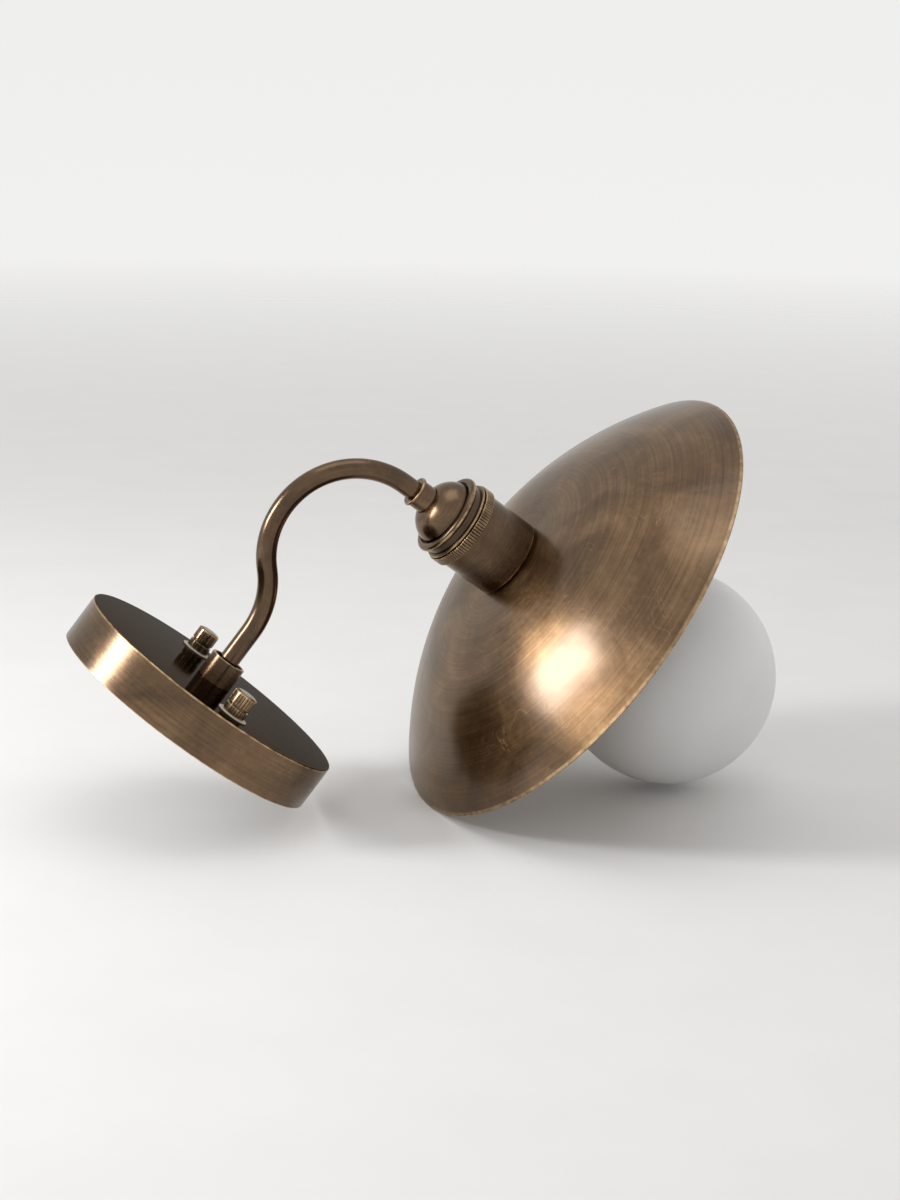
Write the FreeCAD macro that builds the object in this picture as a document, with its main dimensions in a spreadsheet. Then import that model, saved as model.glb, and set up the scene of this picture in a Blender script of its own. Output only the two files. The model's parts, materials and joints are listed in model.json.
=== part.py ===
import FreeCAD, Part
import math
import os

import Sketcher
from FreeCAD import Placement, Rotation, Vector

# Wall sconce with a gooseneck arm, a spun brass shade that opens upwards and a globe lamp.
# Row frame, in millimetres: the wall is the plane y = 0, the canopy's axis is Y and the arm reaches
# out along -Y. +Z is up, and x = 0 is the plane of symmetry of the arm.

# Driving dimensions. Lengths are in millimetres and angles in degrees.
SIZES = {
    # canopy: a cup that covers the wall box
    "canopy_diameter": 120.0,
    "canopy_depth": 19.5,
    "canopy_wall": 1.2,
    "canopy_edge_radius": 0.5,
    # cross-shaped bracket behind it
    "bracket_span": 104.0,
    "bracket_arm_width": 20.0,
    "bracket_thickness": 1.8,
    "bracket_rise": 3.6,
    "bracket_slope_start": 36.0,
    "bracket_slope_run": 2.4,
    "bracket_upper_arm": 27.0,
    "bracket_lower_arm": 41.0,
    "bracket_corner": 4.0,
    "cable_hole_diameter": 16.0,
    "box_screw_spacing": 60.0,
    "slot_length": 10.0,
    "slot_width": 4.5,
    # studs, their lock nuts, washers and knurled cap nuts
    "stud_spacing": 86.0,
    "stud_diameter": 4.0,
    "stud_engagement": 5.6,
    "stud_head_diameter": 7.6,
    "stud_head_height": 2.4,
    "lock_nut_flats": 7.0,
    "lock_nut_height": 3.2,
    "washer_diameter": 13.2,
    "washer_thickness": 0.6,
    "washer_clearance": 0.3,
    "cap_nut_diameter": 9.8,
    "cap_nut_foot": 3.3,
    "cap_nut_groove": 0.8,
    "cap_nut_groove_depth": 0.6,
    "cap_nut_head": 6.0,
    "cap_nut_dome": 0.8,
    "cap_nut_bore_depth": 7.2,
    "cap_nut_teeth": 24,
    "cap_nut_tooth_depth": 0.3,
    "thread_clearance": 0.05,
    # hub, nipple and its fixings at the canopy
    "hub_diameter": 15.5,
    "hub_height": 11.0,
    "hub_lip": 1.1,
    "hub_edge_radius": 0.3,
    "hub_recess": 1.5,
    "hub_seat": 4.5,
    "nipple_diameter": 9.8,
    "nipple_bore": 7.0,
    "nipple_grip": 5.5,
    "nipple_tail": 7.0,
    "nipple_hole_clearance": 0.2,
    "lock_washer_diameter": 17.0,
    "lock_washer_thickness": 0.8,
    "lock_washer_teeth": 12,
    "lock_washer_notch": 1.5,
    "nipple_nut_flats": 14.0,
    "nipple_nut_height": 3.0,
    # gooseneck arm
    "reach": 132.0,
    "tube_diameter": 8.5,
    "tube_wall": 1.0,
    "bend_radius": 36.0,
    "drop_angle": 45.0,
    "tube_end_straight": 9.4,
    # ferrule at the tube's end
    "ferrule_diameter": 11.8,
    "ferrule_length": 8.8,
    "ferrule_seat": 4.3,
    "ferrule_lip": 0.7,
    "ferrule_lip_height": 1.3,
    # lampholder: domed cap, collar, shell
    "dome_diameter": 28.8,
    "dome_height": 9.2,
    "dome_radius": 11.0,
    "dome_flat_diameter": 12.4,
    "dome_wall": 1.0,
    "dome_skirt": 5.0,
    "dome_nipple_tail": 7.2,
    "dome_washer_diameter": 12.2,
    "dome_washer_thickness": 0.8,
    "collar_start": 7.8,
    "collar_mouth_gap": 0.9,
    "collar_bore_clearance": 0.15,
    "collar_bore_length": 7.5,
    "bead_diameter": 35.8,
    "bead_radius": 1.5,
    "groove_diameter": 33.2,
    "thin_bead_start": 5.8,
    "thin_bead_radius": 0.75,
    "band_start": 7.4,
    "band_height": 4.3,
    "band_diameter": 37.0,
    "band_chamfer": 0.25,
    "band_teeth": 90,
    "band_tooth_depth": 0.35,
    "shell_diameter": 34.6,
    "shell_wall": 1.3,
    "shell_spigot_diameter": 33.4,
    "shell_spigot": 3.8,
    "shell_spigot_clearance": 0.1,
    "shell_length": 24.2,
    "shell_chamfer": 0.9,
    "shell_chamfer_height": 1.5,
    "shell_floor": 1.2,
    # insulating insert and contacts
    "insert_diameter": 30.8,
    "insert_clearance": 0.1,
    "insert_flange": 0.5,
    "insert_flange_height": 3.0,
    "insert_floor": 6.0,
    "insert_floor_drop": 2.5,
    "insert_mouth": 25.0,
    "contact_shell_diameter": 27.8,
    "contact_shell_wall": 0.5,
    "contact_width": 6.0,
    "contact_thickness": 0.5,
    "contact_rise": 2.8,
    "contact_slope": 2.6,
    "contact_tip": 3.6,
    "contact_gap": 0.2,
    "rivet_diameter": 1.8,
    "rivet_head_diameter": 3.0,
    "rivet_head_height": 0.6,
    "lug_offset": 8.0,
    "lug_width": 6.0,
    "lug_depth": 7.0,
    "lug_height": 6.0,
    "lug_wire_depth": 4.5,
    "clamp_screw_diameter": 3.0,
    "clamp_screw_head_diameter": 4.4,
    "clamp_screw_head_height": 1.4,
    # shade with its gasket and threaded ring
    "shade_diameter": 208.8,
    "shade_thickness": 0.8,
    "shade_flat_radius": 26.0,
    "shade_shoulder_radius": 91.0,
    "shade_shoulder_angle": 23.0,
    "shade_flank_radius": 166.0,
    "shade_hole_clearance": 0.3,
    "gasket_diameter": 40.0,
    "gasket_thickness": 1.0,
    "gasket_clearance": 0.3,
    "ring_diameter": 41.0,
    "ring_height": 5.0,
    "ring_clearance": 0.08,
    "ring_grips": 12,
    "ring_grip_radius": 3.0,
    "ring_grip_depth": 0.9,
    # globe lamp
    "globe_diameter": 94.0,
    "glass_wall": 1.0,
    "lamp_length": 138.5,
    "lamp_neck_diameter": 27.2,
    "lamp_neck_fillet": 30.0,
    "lamp_cap_diameter": 26.2,
    "lamp_cap_wall": 0.4,
    "lamp_cap_taper": 1.6,
    "lamp_cap_start": 5.0,
    "lamp_cap_end": 24.5,
    "lamp_cap_mouth_diameter": 23.0,
    "lamp_stub_diameter": 25.2,
    "lamp_stub_start": 17.0,
    "lamp_contact_diameter": 9.0,
    "lamp_contact_height": 1.2,
    "lamp_insulator_foot_diameter": 11.0,
    "lamp_plug_height": 1.2,
    "lamp_clearance": 0.05,
    # wiring
    "wire_diameter": 2.2,
    "wire_spacing": 2.6,
    "wire_bend": 5.0,
    "wire_small_bend": 4.0,
    "wire_hole_clearance": 0.15,
    "wire_fan": 8.0,
    "pole_pitch": 9.0,
    "block_depth": 16.0,
    "block_margin": 4.5,
    "block_base": 8.4,
    "block_tower": 3.8,
    "block_tower_diameter": 6.0,
    "block_tower_spacing": 8.4,
    "block_drop": 19.0,
    "block_wire_height": 4.7,
    "sleeve_diameter": 4.6,
    "sleeve_bore": 2.6,
    "sleeve_recess": 0.5,
    "block_screw_diameter": 2.6,
    "block_screw_drop": 0.8,
    "fixing_screw_diameter": 3.0,
    "fixing_screw_head_diameter": 5.0,
    "fixing_screw_head_height": 2.0,
    "wire_entry": 5.0,
    "earth_screw_height": 20.0,
    "earth_screw_diameter": 4.0,
    "earth_head_diameter": 8.0,
    "earth_head_height": 2.4,
    "terminal_diameter": 9.0,
    "terminal_thickness": 0.8,
    "barrel_diameter": 3.8,
    "barrel_length": 4.5,
    "barrel_lift": 0.2,
}

document = FreeCAD.newDocument("wall_sconce")
sheet = document.addObject("Spreadsheet::Sheet", "Sizes")
for row, (name, value) in enumerate(SIZES.items(), start=1):
    sheet.set(f"A{row}", name)
    sheet.set(f"B{row}", str(value))
    sheet.setAlias(f"B{row}", name)
document.recompute()


class Size:
    """A value that keeps its formula over the sheet, so that a feature can be bound to it."""

    def __init__(self, text, value):
        self.text = text
        self.value = value

    def __add__(self, other):
        other = as_size(other)
        return Size(f"({self.text} + {other.text})", self.value + other.value)

    def __sub__(self, other):
        other = as_size(other)
        return Size(f"({self.text} - {other.text})", self.value - other.value)

    def __mul__(self, other):
        other = as_size(other)
        return Size(f"({self.text} * {other.text})", self.value * other.value)

    def __truediv__(self, other):
        other = as_size(other)
        return Size(f"({self.text} / {other.text})", self.value / other.value)

    def __radd__(self, other):
        return as_size(other) + self

    def __rsub__(self, other):
        return as_size(other) - self

    def __rmul__(self, other):
        return as_size(other) * self

    def __neg__(self):
        return Size(f"(0 - {self.text})", -self.value)


class Sheet:
    """Gives each named cell as a Size, such as s.reach."""

    def __getattr__(self, name):
        return Size(f"Sizes.{name}", float(sheet.get(name)))


def as_size(number):
    return number if isinstance(number, Size) else Size(repr(number), float(number))


def sine(angle):
    return Size(f"sin({angle.text})", math.sin(math.radians(angle.value)))


def cosine(angle):
    return Size(f"cos({angle.text})", math.cos(math.radians(angle.value)))


def root(number):
    return Size(f"sqrt({number.text})", math.sqrt(number.value))


s = Sheet()
ZERO = as_size(0)
FULL_TURN = 360
made = []


# ---------------------------------------------------------------- places

# On the wall side a piece is drawn with its own z as the distance from the wall, and its y upwards.
CANOPY_FACE = s.canopy_depth
CANOPY_INSIDE = s.canopy_depth - s.canopy_wall
HUB_TOP = CANOPY_FACE + s.hub_height
TUBE_START = HUB_TOP - s.hub_seat
NIPPLE_END = CANOPY_FACE + s.nipple_grip
NIPPLE_MOUTH = CANOPY_FACE - s.nipple_tail
LOCK_WASHER_START = CANOPY_INSIDE - s.lock_washer_thickness
RAISED_FRONT = s.bracket_rise + s.bracket_thickness
NUT_FOOT = CANOPY_FACE + s.washer_thickness
BLOCK_MIDDLE = s.block_drop + s.block_depth / 2
BLOCK_FRONT = s.bracket_thickness + s.block_base
WIRE_DEPTH = s.bracket_thickness + s.block_wire_height
BARREL_DEPTH = s.bracket_thickness + s.barrel_lift + s.barrel_diameter / 2

# The arm drops by the drop angle, then turns up to the vertical at the reach.
FIRST_STRAIGHT = s.reach - s.bend_radius - 2 * s.bend_radius * sine(s.drop_angle)
DROP_Y = FIRST_STRAIGHT + s.bend_radius * sine(s.drop_angle)
DROP_Z = s.bend_radius * (1 - cosine(s.drop_angle))
RISE_Z = s.bend_radius * (2 * cosine(s.drop_angle) - 1)
TUBE_TOP = RISE_Z + s.tube_end_straight
TUBE_RADIUS = s.tube_diameter / 2
TUBE_BORE = TUBE_RADIUS - s.tube_wall
TUBE_SEAT = TUBE_RADIUS + s.thread_clearance
NIPPLE_RADIUS = s.nipple_diameter / 2
NIPPLE_SEAT = NIPPLE_RADIUS + s.thread_clearance

# On the lampholder a piece is drawn with z = 0 at the top of the domed cap, where the ferrule ends.
HOLDER_Z = TUBE_TOP - s.ferrule_seat + s.ferrule_length
FERRULE_START = -s.ferrule_length
TUBE_END = s.ferrule_seat - s.ferrule_length
DOME_END = s.dome_height + s.dome_skirt
HOLDER_NUT_START = s.dome_wall + s.dome_washer_thickness
BAND_START = s.collar_start + s.band_start
COLLAR_END = BAND_START + s.band_height
SHELL_START = COLLAR_END - s.shell_spigot
SHELL_END = COLLAR_END + s.shell_length
SHELL_FLOOR = SHELL_END - s.shell_floor
INSERT_RADIUS = s.insert_diameter / 2
INSERT_FLOOR_TOP = SHELL_END - s.insert_floor_drop
INSERT_BOTTOM = INSERT_FLOOR_TOP - s.insert_floor
INSERT_MOUTH = SHELL_END + s.insert_mouth
LUG_BOTTOM = INSERT_BOTTOM - s.lug_height
SHADE_INSIDE = SHELL_END + s.shade_thickness
RING_START = SHADE_INSIDE + s.gasket_thickness

# The lamp is drawn with z = 0 at the tip of its contact.
LAMP_TIP = INSERT_FLOOR_TOP + s.contact_rise + s.contact_gap


def wall_side(part, x=ZERO):
    """Stands a piece on the wall: its z points away from the wall and its y up."""
    part.Placement = Placement(Vector(0, 0, 0), Rotation(Vector(1, 0, 0), 90))
    part.setExpression("Placement.Base.x", x.text)


def at_holder(part, z=ZERO):
    """Puts a piece on the lampholder's axis, at a height above the domed cap's top."""
    part.setExpression("Placement.Base.y", (-s.reach).text)
    part.setExpression("Placement.Base.z", (HOLDER_Z + z).text)


# ---------------------------------------------------------------- tools for sketches and solids


def keep(part, name):
    """Names a finished sub-part and lists it for writing."""
    part.Label = name
    made.append(part)
    return part


def new_body(name):
    return keep(document.addObject("PartDesign::Body", name), name)


def origin_feature(body, role):
    return [feature for feature in body.Origin.OriginFeatures if feature.Role == role][0]


def new_sketch(body, role, name, offset=None):
    """A sketch on one of the body's origin planes, moved along the plane's normal by the offset."""
    sketch = body.newObject("Sketcher::SketchObject", name)
    sketch.AttachmentSupport = [(origin_feature(body, role), "")]
    sketch.MapMode = "FlatFace"
    if offset is not None:
        sketch.setExpression("AttachmentOffset.Base.z", offset.text)
    return sketch


def arc_between(start, end, radius):
    """The arc from start to end. A positive radius turns left on the way."""
    chord = end - start
    across = Vector(-chord.y, chord.x, 0).normalize()
    reach = math.sqrt(max(radius**2 - (chord.Length / 2) ** 2, 0))
    centre = (start + end) * 0.5 + across * math.copysign(reach, radius)
    return arc_round(centre, start, end, radius)


def arc_round(centre, start, end, radius):
    """The arc from start to end about a centre, with the numbers of its own first and last point."""
    first, last = (start, end) if radius > 0 else (end, start)
    angles = [math.atan2(point.y - centre.y, point.x - centre.x) for point in (first, last)]
    circle = Part.Circle(centre, Vector(0, 0, 1), abs(radius))
    arc = Part.ArcOfCircle(circle, angles[0], angles[1])
    return (arc, 1, 2) if radius > 0 else (arc, 2, 1)


def pin(sketch, shape, point, x, y):
    """Fixes a point of the sketch at x and y, both bound to the sheet."""
    for kind, size, axis in (("DistanceX", x, -2), ("DistanceY", y, -1)):
        if abs(size.value) < 1e-9:
            sketch.addConstraint(Sketcher.Constraint("PointOnObject", shape, point, axis))
        elif size.value > 0:
            rule = Sketcher.Constraint(kind, -1, 1, shape, point, size.value)
            bind(sketch, rule, size)
        else:
            rule = Sketcher.Constraint(kind, shape, point, -1, 1, -size.value)
            bind(sketch, rule, -size)


def bind(sketch, rule, size):
    index = sketch.addConstraint(rule)
    sketch.setExpression(f"Constraints[{index}]", size.text)


def draw(sketch, corners, closed=True):
    """Draws an outline through corners of (x, y). A third value is the radius of an arc to the next.

    An arc of more than half a turn has its centre's height on the y axis as a fourth value.
    """
    corners = [[as_size(value) for value in corner] for corner in corners]
    count = len(corners) if closed else len(corners) - 1
    edges = []
    for i in range(count):
        here, there = corners[i], corners[(i + 1) % len(corners)]
        start = Vector(here[0].value, here[1].value, 0)
        end = Vector(there[0].value, there[1].value, 0)
        if len(here) == 4:
            centre = Vector(0, here[3].value, 0)
            arc, first, last = arc_round(centre, start, end, here[2].value)
            edges.append((sketch.addGeometry(arc), first, last))
        elif len(here) == 3:
            arc, first, last = arc_between(start, end, here[2].value)
            edges.append((sketch.addGeometry(arc), first, last))
        else:
            edges.append((sketch.addGeometry(Part.LineSegment(start, end)), 1, 2))
    for before, after in zip(edges, edges[1:] + edges[:1] if closed else edges[1:]):
        sketch.addConstraint(
            Sketcher.Constraint("Coincident", before[0], before[2], after[0], after[1])
        )
    for edge, corner in zip(edges, corners):
        pin(sketch, edge[0], edge[1], corner[0], corner[1])
        if len(corner) > 2:
            radius = corner[2] if corner[2].value > 0 else -corner[2]
            bind(sketch, Sketcher.Constraint("Radius", edge[0], radius.value), radius)
    if not closed:
        pin(sketch, edges[-1][0], edges[-1][2], corners[-1][0], corners[-1][1])


def draw_circle(sketch, x, y, radius):
    x, y = as_size(x), as_size(y)
    circle = Part.Circle(Vector(x.value, y.value, 0), Vector(0, 0, 1), radius.value)
    shape = sketch.addGeometry(circle)
    pin(sketch, shape, 3, x, y)
    bind(sketch, Sketcher.Constraint("Radius", shape, radius.value), radius)


def draw_box(sketch, left, right, low, high):
    draw(sketch, [(left, low), (right, low), (right, high), (left, high)])


def draw_slot(sketch, x, length, width):
    """A slot along the sketch's x with round ends, centred on x and on the x axis."""
    half, radius = (length - width) / 2, width / 2
    left, right = x - half, x + half
    draw(
        sketch,
        [
            (left, -radius),
            (right, -radius, radius),
            (right + radius, 0, radius),
            (right, radius),
            (left, radius, radius),
            (left - radius, 0, radius),
        ],
    )


def revolve(body, name, corners):
    """Turns an outline of (radius, height) corners about the body's own z."""
    sketch = new_sketch(body, "XZ_Plane", name + "_outline")
    draw(sketch, corners)
    turned = body.newObject("PartDesign::Revolution", name)
    turned.Profile = sketch
    turned.ReferenceAxis = (sketch, ["V_Axis"])
    turned.Angle = FULL_TURN
    return turned


def pad(body, name, role, height, drawer, offset=None, symmetric=False):
    """Pads what the drawer puts in a sketch, along the plane's normal."""
    sketch = new_sketch(body, role, name + "_outline", offset)
    drawer(sketch)
    feature = body.newObject("PartDesign::Pad", name)
    feature.Profile = sketch
    feature.SideType = "Symmetric" if symmetric else "One side"
    feature.setExpression("Length", height.text)
    return feature


def pocket(body, name, role, depth, drawer, offset=None, symmetric=False):
    """Cuts what the drawer puts in a sketch, against the plane's normal."""
    sketch = new_sketch(body, role, name + "_outline", offset)
    drawer(sketch)
    feature = body.newObject("PartDesign::Pocket", name)
    feature.Profile = sketch
    feature.SideType = "Symmetric" if symmetric else "One side"
    feature.setExpression("Length", depth.text)
    return feature


def polar(body, name, feature, count):
    """Repeats a feature round the body's z."""
    pattern = body.newObject("PartDesign::PolarPattern", name)
    pattern.Originals = [feature]
    pattern.Axis = (origin_feature(body, "Z_Axis"), [""])
    pattern.Angle = FULL_TURN
    pattern.setExpression("Occurrences", count.text)
    body.Tip = pattern
    return pattern


def cylinder(name, radius, height, base=ZERO, x=ZERO, y=ZERO):
    """A plain cylinder along z, used in the simple turned pieces."""
    solid = document.addObject("Part::Cylinder", name)
    solid.setExpression("Radius", radius.text)
    solid.setExpression("Height", height.text)
    for axis, size in (("x", x), ("y", y), ("z", base)):
        solid.setExpression(f"Placement.Base.{axis}", as_size(size).text)
    return solid


def lying(name, radius, length, x, y, z):
    """A plain cylinder that starts at a point and runs along -y."""
    solid = document.addObject("Part::Cylinder", name)
    solid.setExpression("Radius", radius.text)
    solid.setExpression("Height", length.text)
    solid.Placement = Placement(Vector(0, 0, 0), Rotation(Vector(1, 0, 0), 90))
    for axis, size in (("x", x), ("y", y), ("z", z)):
        solid.setExpression(f"Placement.Base.{axis}", as_size(size).text)
    return solid


def block(name, x, y, z, width, depth, height):
    """A plain block from its lowest corner."""
    solid = document.addObject("Part::Box", name)
    solid.setExpression("Length", width.text)
    solid.setExpression("Width", depth.text)
    solid.setExpression("Height", height.text)
    for axis, size in (("x", x), ("y", y), ("z", z)):
        solid.setExpression(f"Placement.Base.{axis}", as_size(size).text)
    return solid


def cut(name, base, tool):
    result = document.addObject("Part::Cut", name)
    result.Base = base
    result.Tool = tool
    return result


def fuse(name, solids):
    result = document.addObject("Part::MultiFuse", name)
    result.Shapes = solids
    return result


def group(name, solids):
    """Identical pieces that share one sub-part, as separate solids."""
    result = document.addObject("Part::Compound", name)
    result.Links = solids
    return keep(result, name)


def ring(name, outer, inner, height, base=ZERO):
    """A flat ring with its lower face at base."""
    blank = cylinder(name + "_blank", outer, height, base)
    bore = cylinder(name + "_bore", inner, height + 2, base - 1)
    return keep(cut(name, blank, bore), name)


def hex_nut(name, flats, bore, height, base):
    """A hexagon nut of a width across flats, with a plain bore for its thread."""
    blank = document.addObject("Part::Prism", name + "_blank")
    blank.Polygon = 6
    blank.setExpression("Circumradius", (flats / root(as_size(3))).text)
    blank.setExpression("Height", height.text)
    blank.setExpression("Placement.Base.z", base.text)
    hole = cylinder(name + "_bore", bore, height + 2, base - 1)
    return keep(cut(name, blank, hole), name)


def polar_notch(sketch, radius, depth, width):
    """A V-shaped notch in a rim, pointing at the axis."""
    beyond = radius + depth
    draw(sketch, [(radius - depth, 0), (beyond, -width), (beyond, width)])


# ---------------------------------------------------------------- canopy and bracket


def make_canopy():
    """A spun cup with a flush front, open at the wall."""
    body = new_body("canopy")
    outer = s.canopy_diameter / 2
    inner = outer - s.canopy_wall
    edge = s.canopy_edge_radius
    hole = NIPPLE_RADIUS + s.nipple_hole_clearance
    outline = [
        (inner, 0),
        (outer, 0),
        (outer, CANOPY_FACE - edge, edge),
        (outer - edge, CANOPY_FACE),
        (hole, CANOPY_FACE),
        (hole, CANOPY_INSIDE),
        (inner, CANOPY_INSIDE),
    ]
    revolve(body, "canopy_cup", outline)

    def stud_holes(sketch):
        for side in (-1, 1):
            radius = s.stud_diameter / 2 + s.washer_clearance
            draw_circle(sketch, side * s.stud_spacing / 2, 0, radius)

    pocket(body, "canopy_stud_holes", "XY_Plane", s.canopy_wall + 2, stud_holes, CANOPY_FACE + 1)
    wall_side(body)


def make_mounting_bracket():
    """A steel cross: its ends along x are joggled off the wall to clear the studs' heads."""
    body = new_body("mounting_bracket")
    half, rise, thick = s.bracket_span / 2, s.bracket_rise, s.bracket_thickness
    start, run = s.bracket_slope_start, s.bracket_slope_run
    end = start + run
    mitre = thick * (root(run * run + rise * rise) - run) / rise
    width = s.bracket_arm_width / 2

    def strip(sketch):
        lower = [(-half, rise), (-end, rise), (-start, 0), (start, 0), (end, rise), (half, rise)]
        upper = [
            (half, rise + thick),
            (end - mitre, rise + thick),
            (start - mitre, thick),
            (mitre - start, thick),
            (mitre - end, rise + thick),
            (-half, rise + thick),
        ]
        draw(sketch, lower + upper)

    def upright(sketch):
        low, high, corner = -s.bracket_lower_arm, s.bracket_upper_arm, s.bracket_corner
        outline = [
            (corner - width, low),
            (width - corner, low, corner),
            (width, low + corner),
            (width, high - corner, corner),
            (width - corner, high),
            (corner - width, high, corner),
            (-width, high - corner),
            (-width, low + corner, corner),
        ]
        draw(sketch, outline)

    def holes(sketch):
        draw_circle(sketch, 0, 0, s.cable_hole_diameter / 2)
        screw = s.earth_screw_diameter / 2 + s.thread_clearance
        draw_circle(sketch, 0, s.earth_screw_height, screw)
        for side in (-1, 1):
            draw_slot(sketch, side * s.box_screw_spacing / 2, s.slot_length, s.slot_width)
            stud = s.stud_diameter / 2 + s.thread_clearance
            draw_circle(sketch, side * s.stud_spacing / 2, 0, stud)
            fixing = s.fixing_screw_diameter / 2 + s.thread_clearance
            draw_circle(sketch, side * s.pole_pitch / 2, -BLOCK_MIDDLE, fixing)

    pad(body, "bracket_strip", "XZ_Plane", s.bracket_arm_width, strip, symmetric=True)
    pad(body, "bracket_upright", "XY_Plane", thick, upright)
    pocket(body, "bracket_holes", "XY_Plane", RAISED_FRONT + 2, holes, RAISED_FRONT + 1)
    wall_side(body)


def make_stud(side, x):
    """A pan-head machine screw that stands out through the bracket and the canopy."""
    body = new_body(f"stud_{side}")
    shank, head = s.stud_diameter / 2, s.stud_head_diameter / 2
    low = s.bracket_rise - s.stud_head_height
    tip = NUT_FOOT + s.stud_engagement
    outline = [
        (0, low),
        (head, low),
        (head, s.bracket_rise),
        (shank, s.bracket_rise),
        (shank, tip),
        (0, tip),
    ]
    revolve(body, f"stud_{side}_turned", outline)
    wall_side(body, x)


def make_lock_nut(side, x):
    bore = s.stud_diameter / 2 + s.thread_clearance
    nut = hex_nut(f"lock_nut_{side}", s.lock_nut_flats, bore, s.lock_nut_height, RAISED_FRONT)
    wall_side(nut, x)


def make_washer(side, x):
    bore = s.stud_diameter / 2 + s.washer_clearance
    washer = ring(f"washer_{side}", s.washer_diameter / 2, bore, s.washer_thickness, CANOPY_FACE)
    wall_side(washer, x)


def make_cap_nut(side, x):
    """A blind nut with straight knurling above and below a groove, and a slightly domed top."""
    body = new_body(f"cap_nut_{side}")
    radius = s.cap_nut_diameter / 2
    waist = radius - s.cap_nut_groove_depth
    bore = s.stud_diameter / 2 + s.thread_clearance
    groove = NUT_FOOT + s.cap_nut_foot
    head = groove + s.cap_nut_groove
    top = head + s.cap_nut_head
    dome = s.cap_nut_dome
    outline = [
        (bore, NUT_FOOT),
        (radius, NUT_FOOT),
        (radius, groove),
        (waist, groove),
        (waist, head),
        (radius, head),
        (radius, top - dome, dome),
        (radius - dome, top),
        (0, top),
        (0, NUT_FOOT + s.cap_nut_bore_depth),
        (bore, NUT_FOOT + s.cap_nut_bore_depth),
    ]
    revolve(body, f"cap_nut_{side}_turned", outline)
    depth = s.cap_nut_tooth_depth

    def notch(sketch):
        polar_notch(sketch, radius, depth, depth * 1.4)

    height = top - NUT_FOOT
    tooth = pocket(body, f"cap_nut_{side}_tooth", "XY_Plane", height, notch, top)
    polar(body, f"cap_nut_{side}_knurl", tooth, s.cap_nut_teeth)
    wall_side(body, x)


# ---------------------------------------------------------------- hub and arm


def make_hub():
    """The short socket that the arm is brazed into, with a recess round the tube."""
    body = new_body("hub")
    outer, edge = s.hub_diameter / 2, s.hub_edge_radius
    lip = outer - s.hub_lip
    recess = HUB_TOP - s.hub_recess
    outline = [
        (NIPPLE_SEAT, CANOPY_FACE),
        (outer, CANOPY_FACE),
        (outer, HUB_TOP - edge, edge),
        (outer - edge, HUB_TOP),
        (lip, HUB_TOP),
        (lip, recess),
        (TUBE_SEAT, recess),
        (TUBE_SEAT, TUBE_START),
        (TUBE_BORE, TUBE_START),
        (TUBE_BORE, NIPPLE_END),
        (NIPPLE_SEAT, NIPPLE_END),
    ]
    revolve(body, "hub_turned", outline)
    wall_side(body)


def make_canopy_fixings():
    """The hollow threaded nipple that holds hub and canopy together, with its washer and nut."""
    length = NIPPLE_END - NIPPLE_MOUTH
    nipple = ring("canopy_nipple", NIPPLE_RADIUS, s.nipple_bore / 2, length, NIPPLE_MOUTH)
    wall_side(nipple)

    body = new_body("toothed_washer")
    inner = NIPPLE_RADIUS + s.nipple_hole_clearance
    outer = s.lock_washer_diameter / 2
    top = CANOPY_INSIDE
    outline = [
        (inner, LOCK_WASHER_START),
        (outer, LOCK_WASHER_START),
        (outer, top),
        (inner, top),
    ]
    revolve(body, "toothed_washer_disc", outline)

    def notch(sketch):
        polar_notch(sketch, outer, s.lock_washer_notch, s.lock_washer_notch / 2)

    tooth = pocket(
        body, "toothed_washer_notch", "XY_Plane", s.lock_washer_thickness, notch, top
    )
    polar(body, "toothed_washer_teeth", tooth, s.lock_washer_teeth)
    wall_side(body)

    start = LOCK_WASHER_START - s.nipple_nut_height
    nut = hex_nut("nipple_nut", s.nipple_nut_flats, NIPPLE_SEAT, s.nipple_nut_height, start)
    wall_side(nut)


def make_arm_tube():
    """The gooseneck: straight out, down by the drop angle, then round and up to the lampholder."""
    body = new_body("arm_tube")
    path = new_sketch(body, "YZ_Plane", "arm_path")
    corners = [
        (-TUBE_START, 0),
        (-FIRST_STRAIGHT, 0, s.bend_radius),
        (-DROP_Y, -DROP_Z, -s.bend_radius),
        (-s.reach, RISE_Z),
        (-s.reach, TUBE_TOP),
    ]
    draw(path, corners, closed=False)
    section = new_sketch(body, "XZ_Plane", "arm_section", TUBE_START)
    draw_circle(section, 0, 0, TUBE_RADIUS)
    draw_circle(section, 0, 0, TUBE_BORE)
    pipe = body.newObject("PartDesign::AdditivePipe", "arm_pipe")
    pipe.Profile = section
    pipe.Spine = (path, ["Edge1", "Edge2", "Edge3", "Edge4"])


def make_ferrule():
    """The collar that joins the arm's end to the lampholder, with a rounded lip at its foot."""
    body = new_body("ferrule")
    outer, lip_height = s.ferrule_diameter / 2, s.ferrule_lip_height
    half = lip_height / 2
    lip = outer + s.ferrule_lip
    outline = [
        (TUBE_SEAT, FERRULE_START),
        (lip - half, FERRULE_START, half),
        (lip, FERRULE_START + half, half),
        (lip - half, FERRULE_START + lip_height),
        (outer, FERRULE_START + lip_height),
        (outer, 0),
        (NIPPLE_SEAT, 0),
        (NIPPLE_SEAT, TUBE_END),
        (TUBE_SEAT, TUBE_END),
    ]
    revolve(body, "ferrule_turned", outline)
    at_holder(body)


# ---------------------------------------------------------------- lampholder


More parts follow.
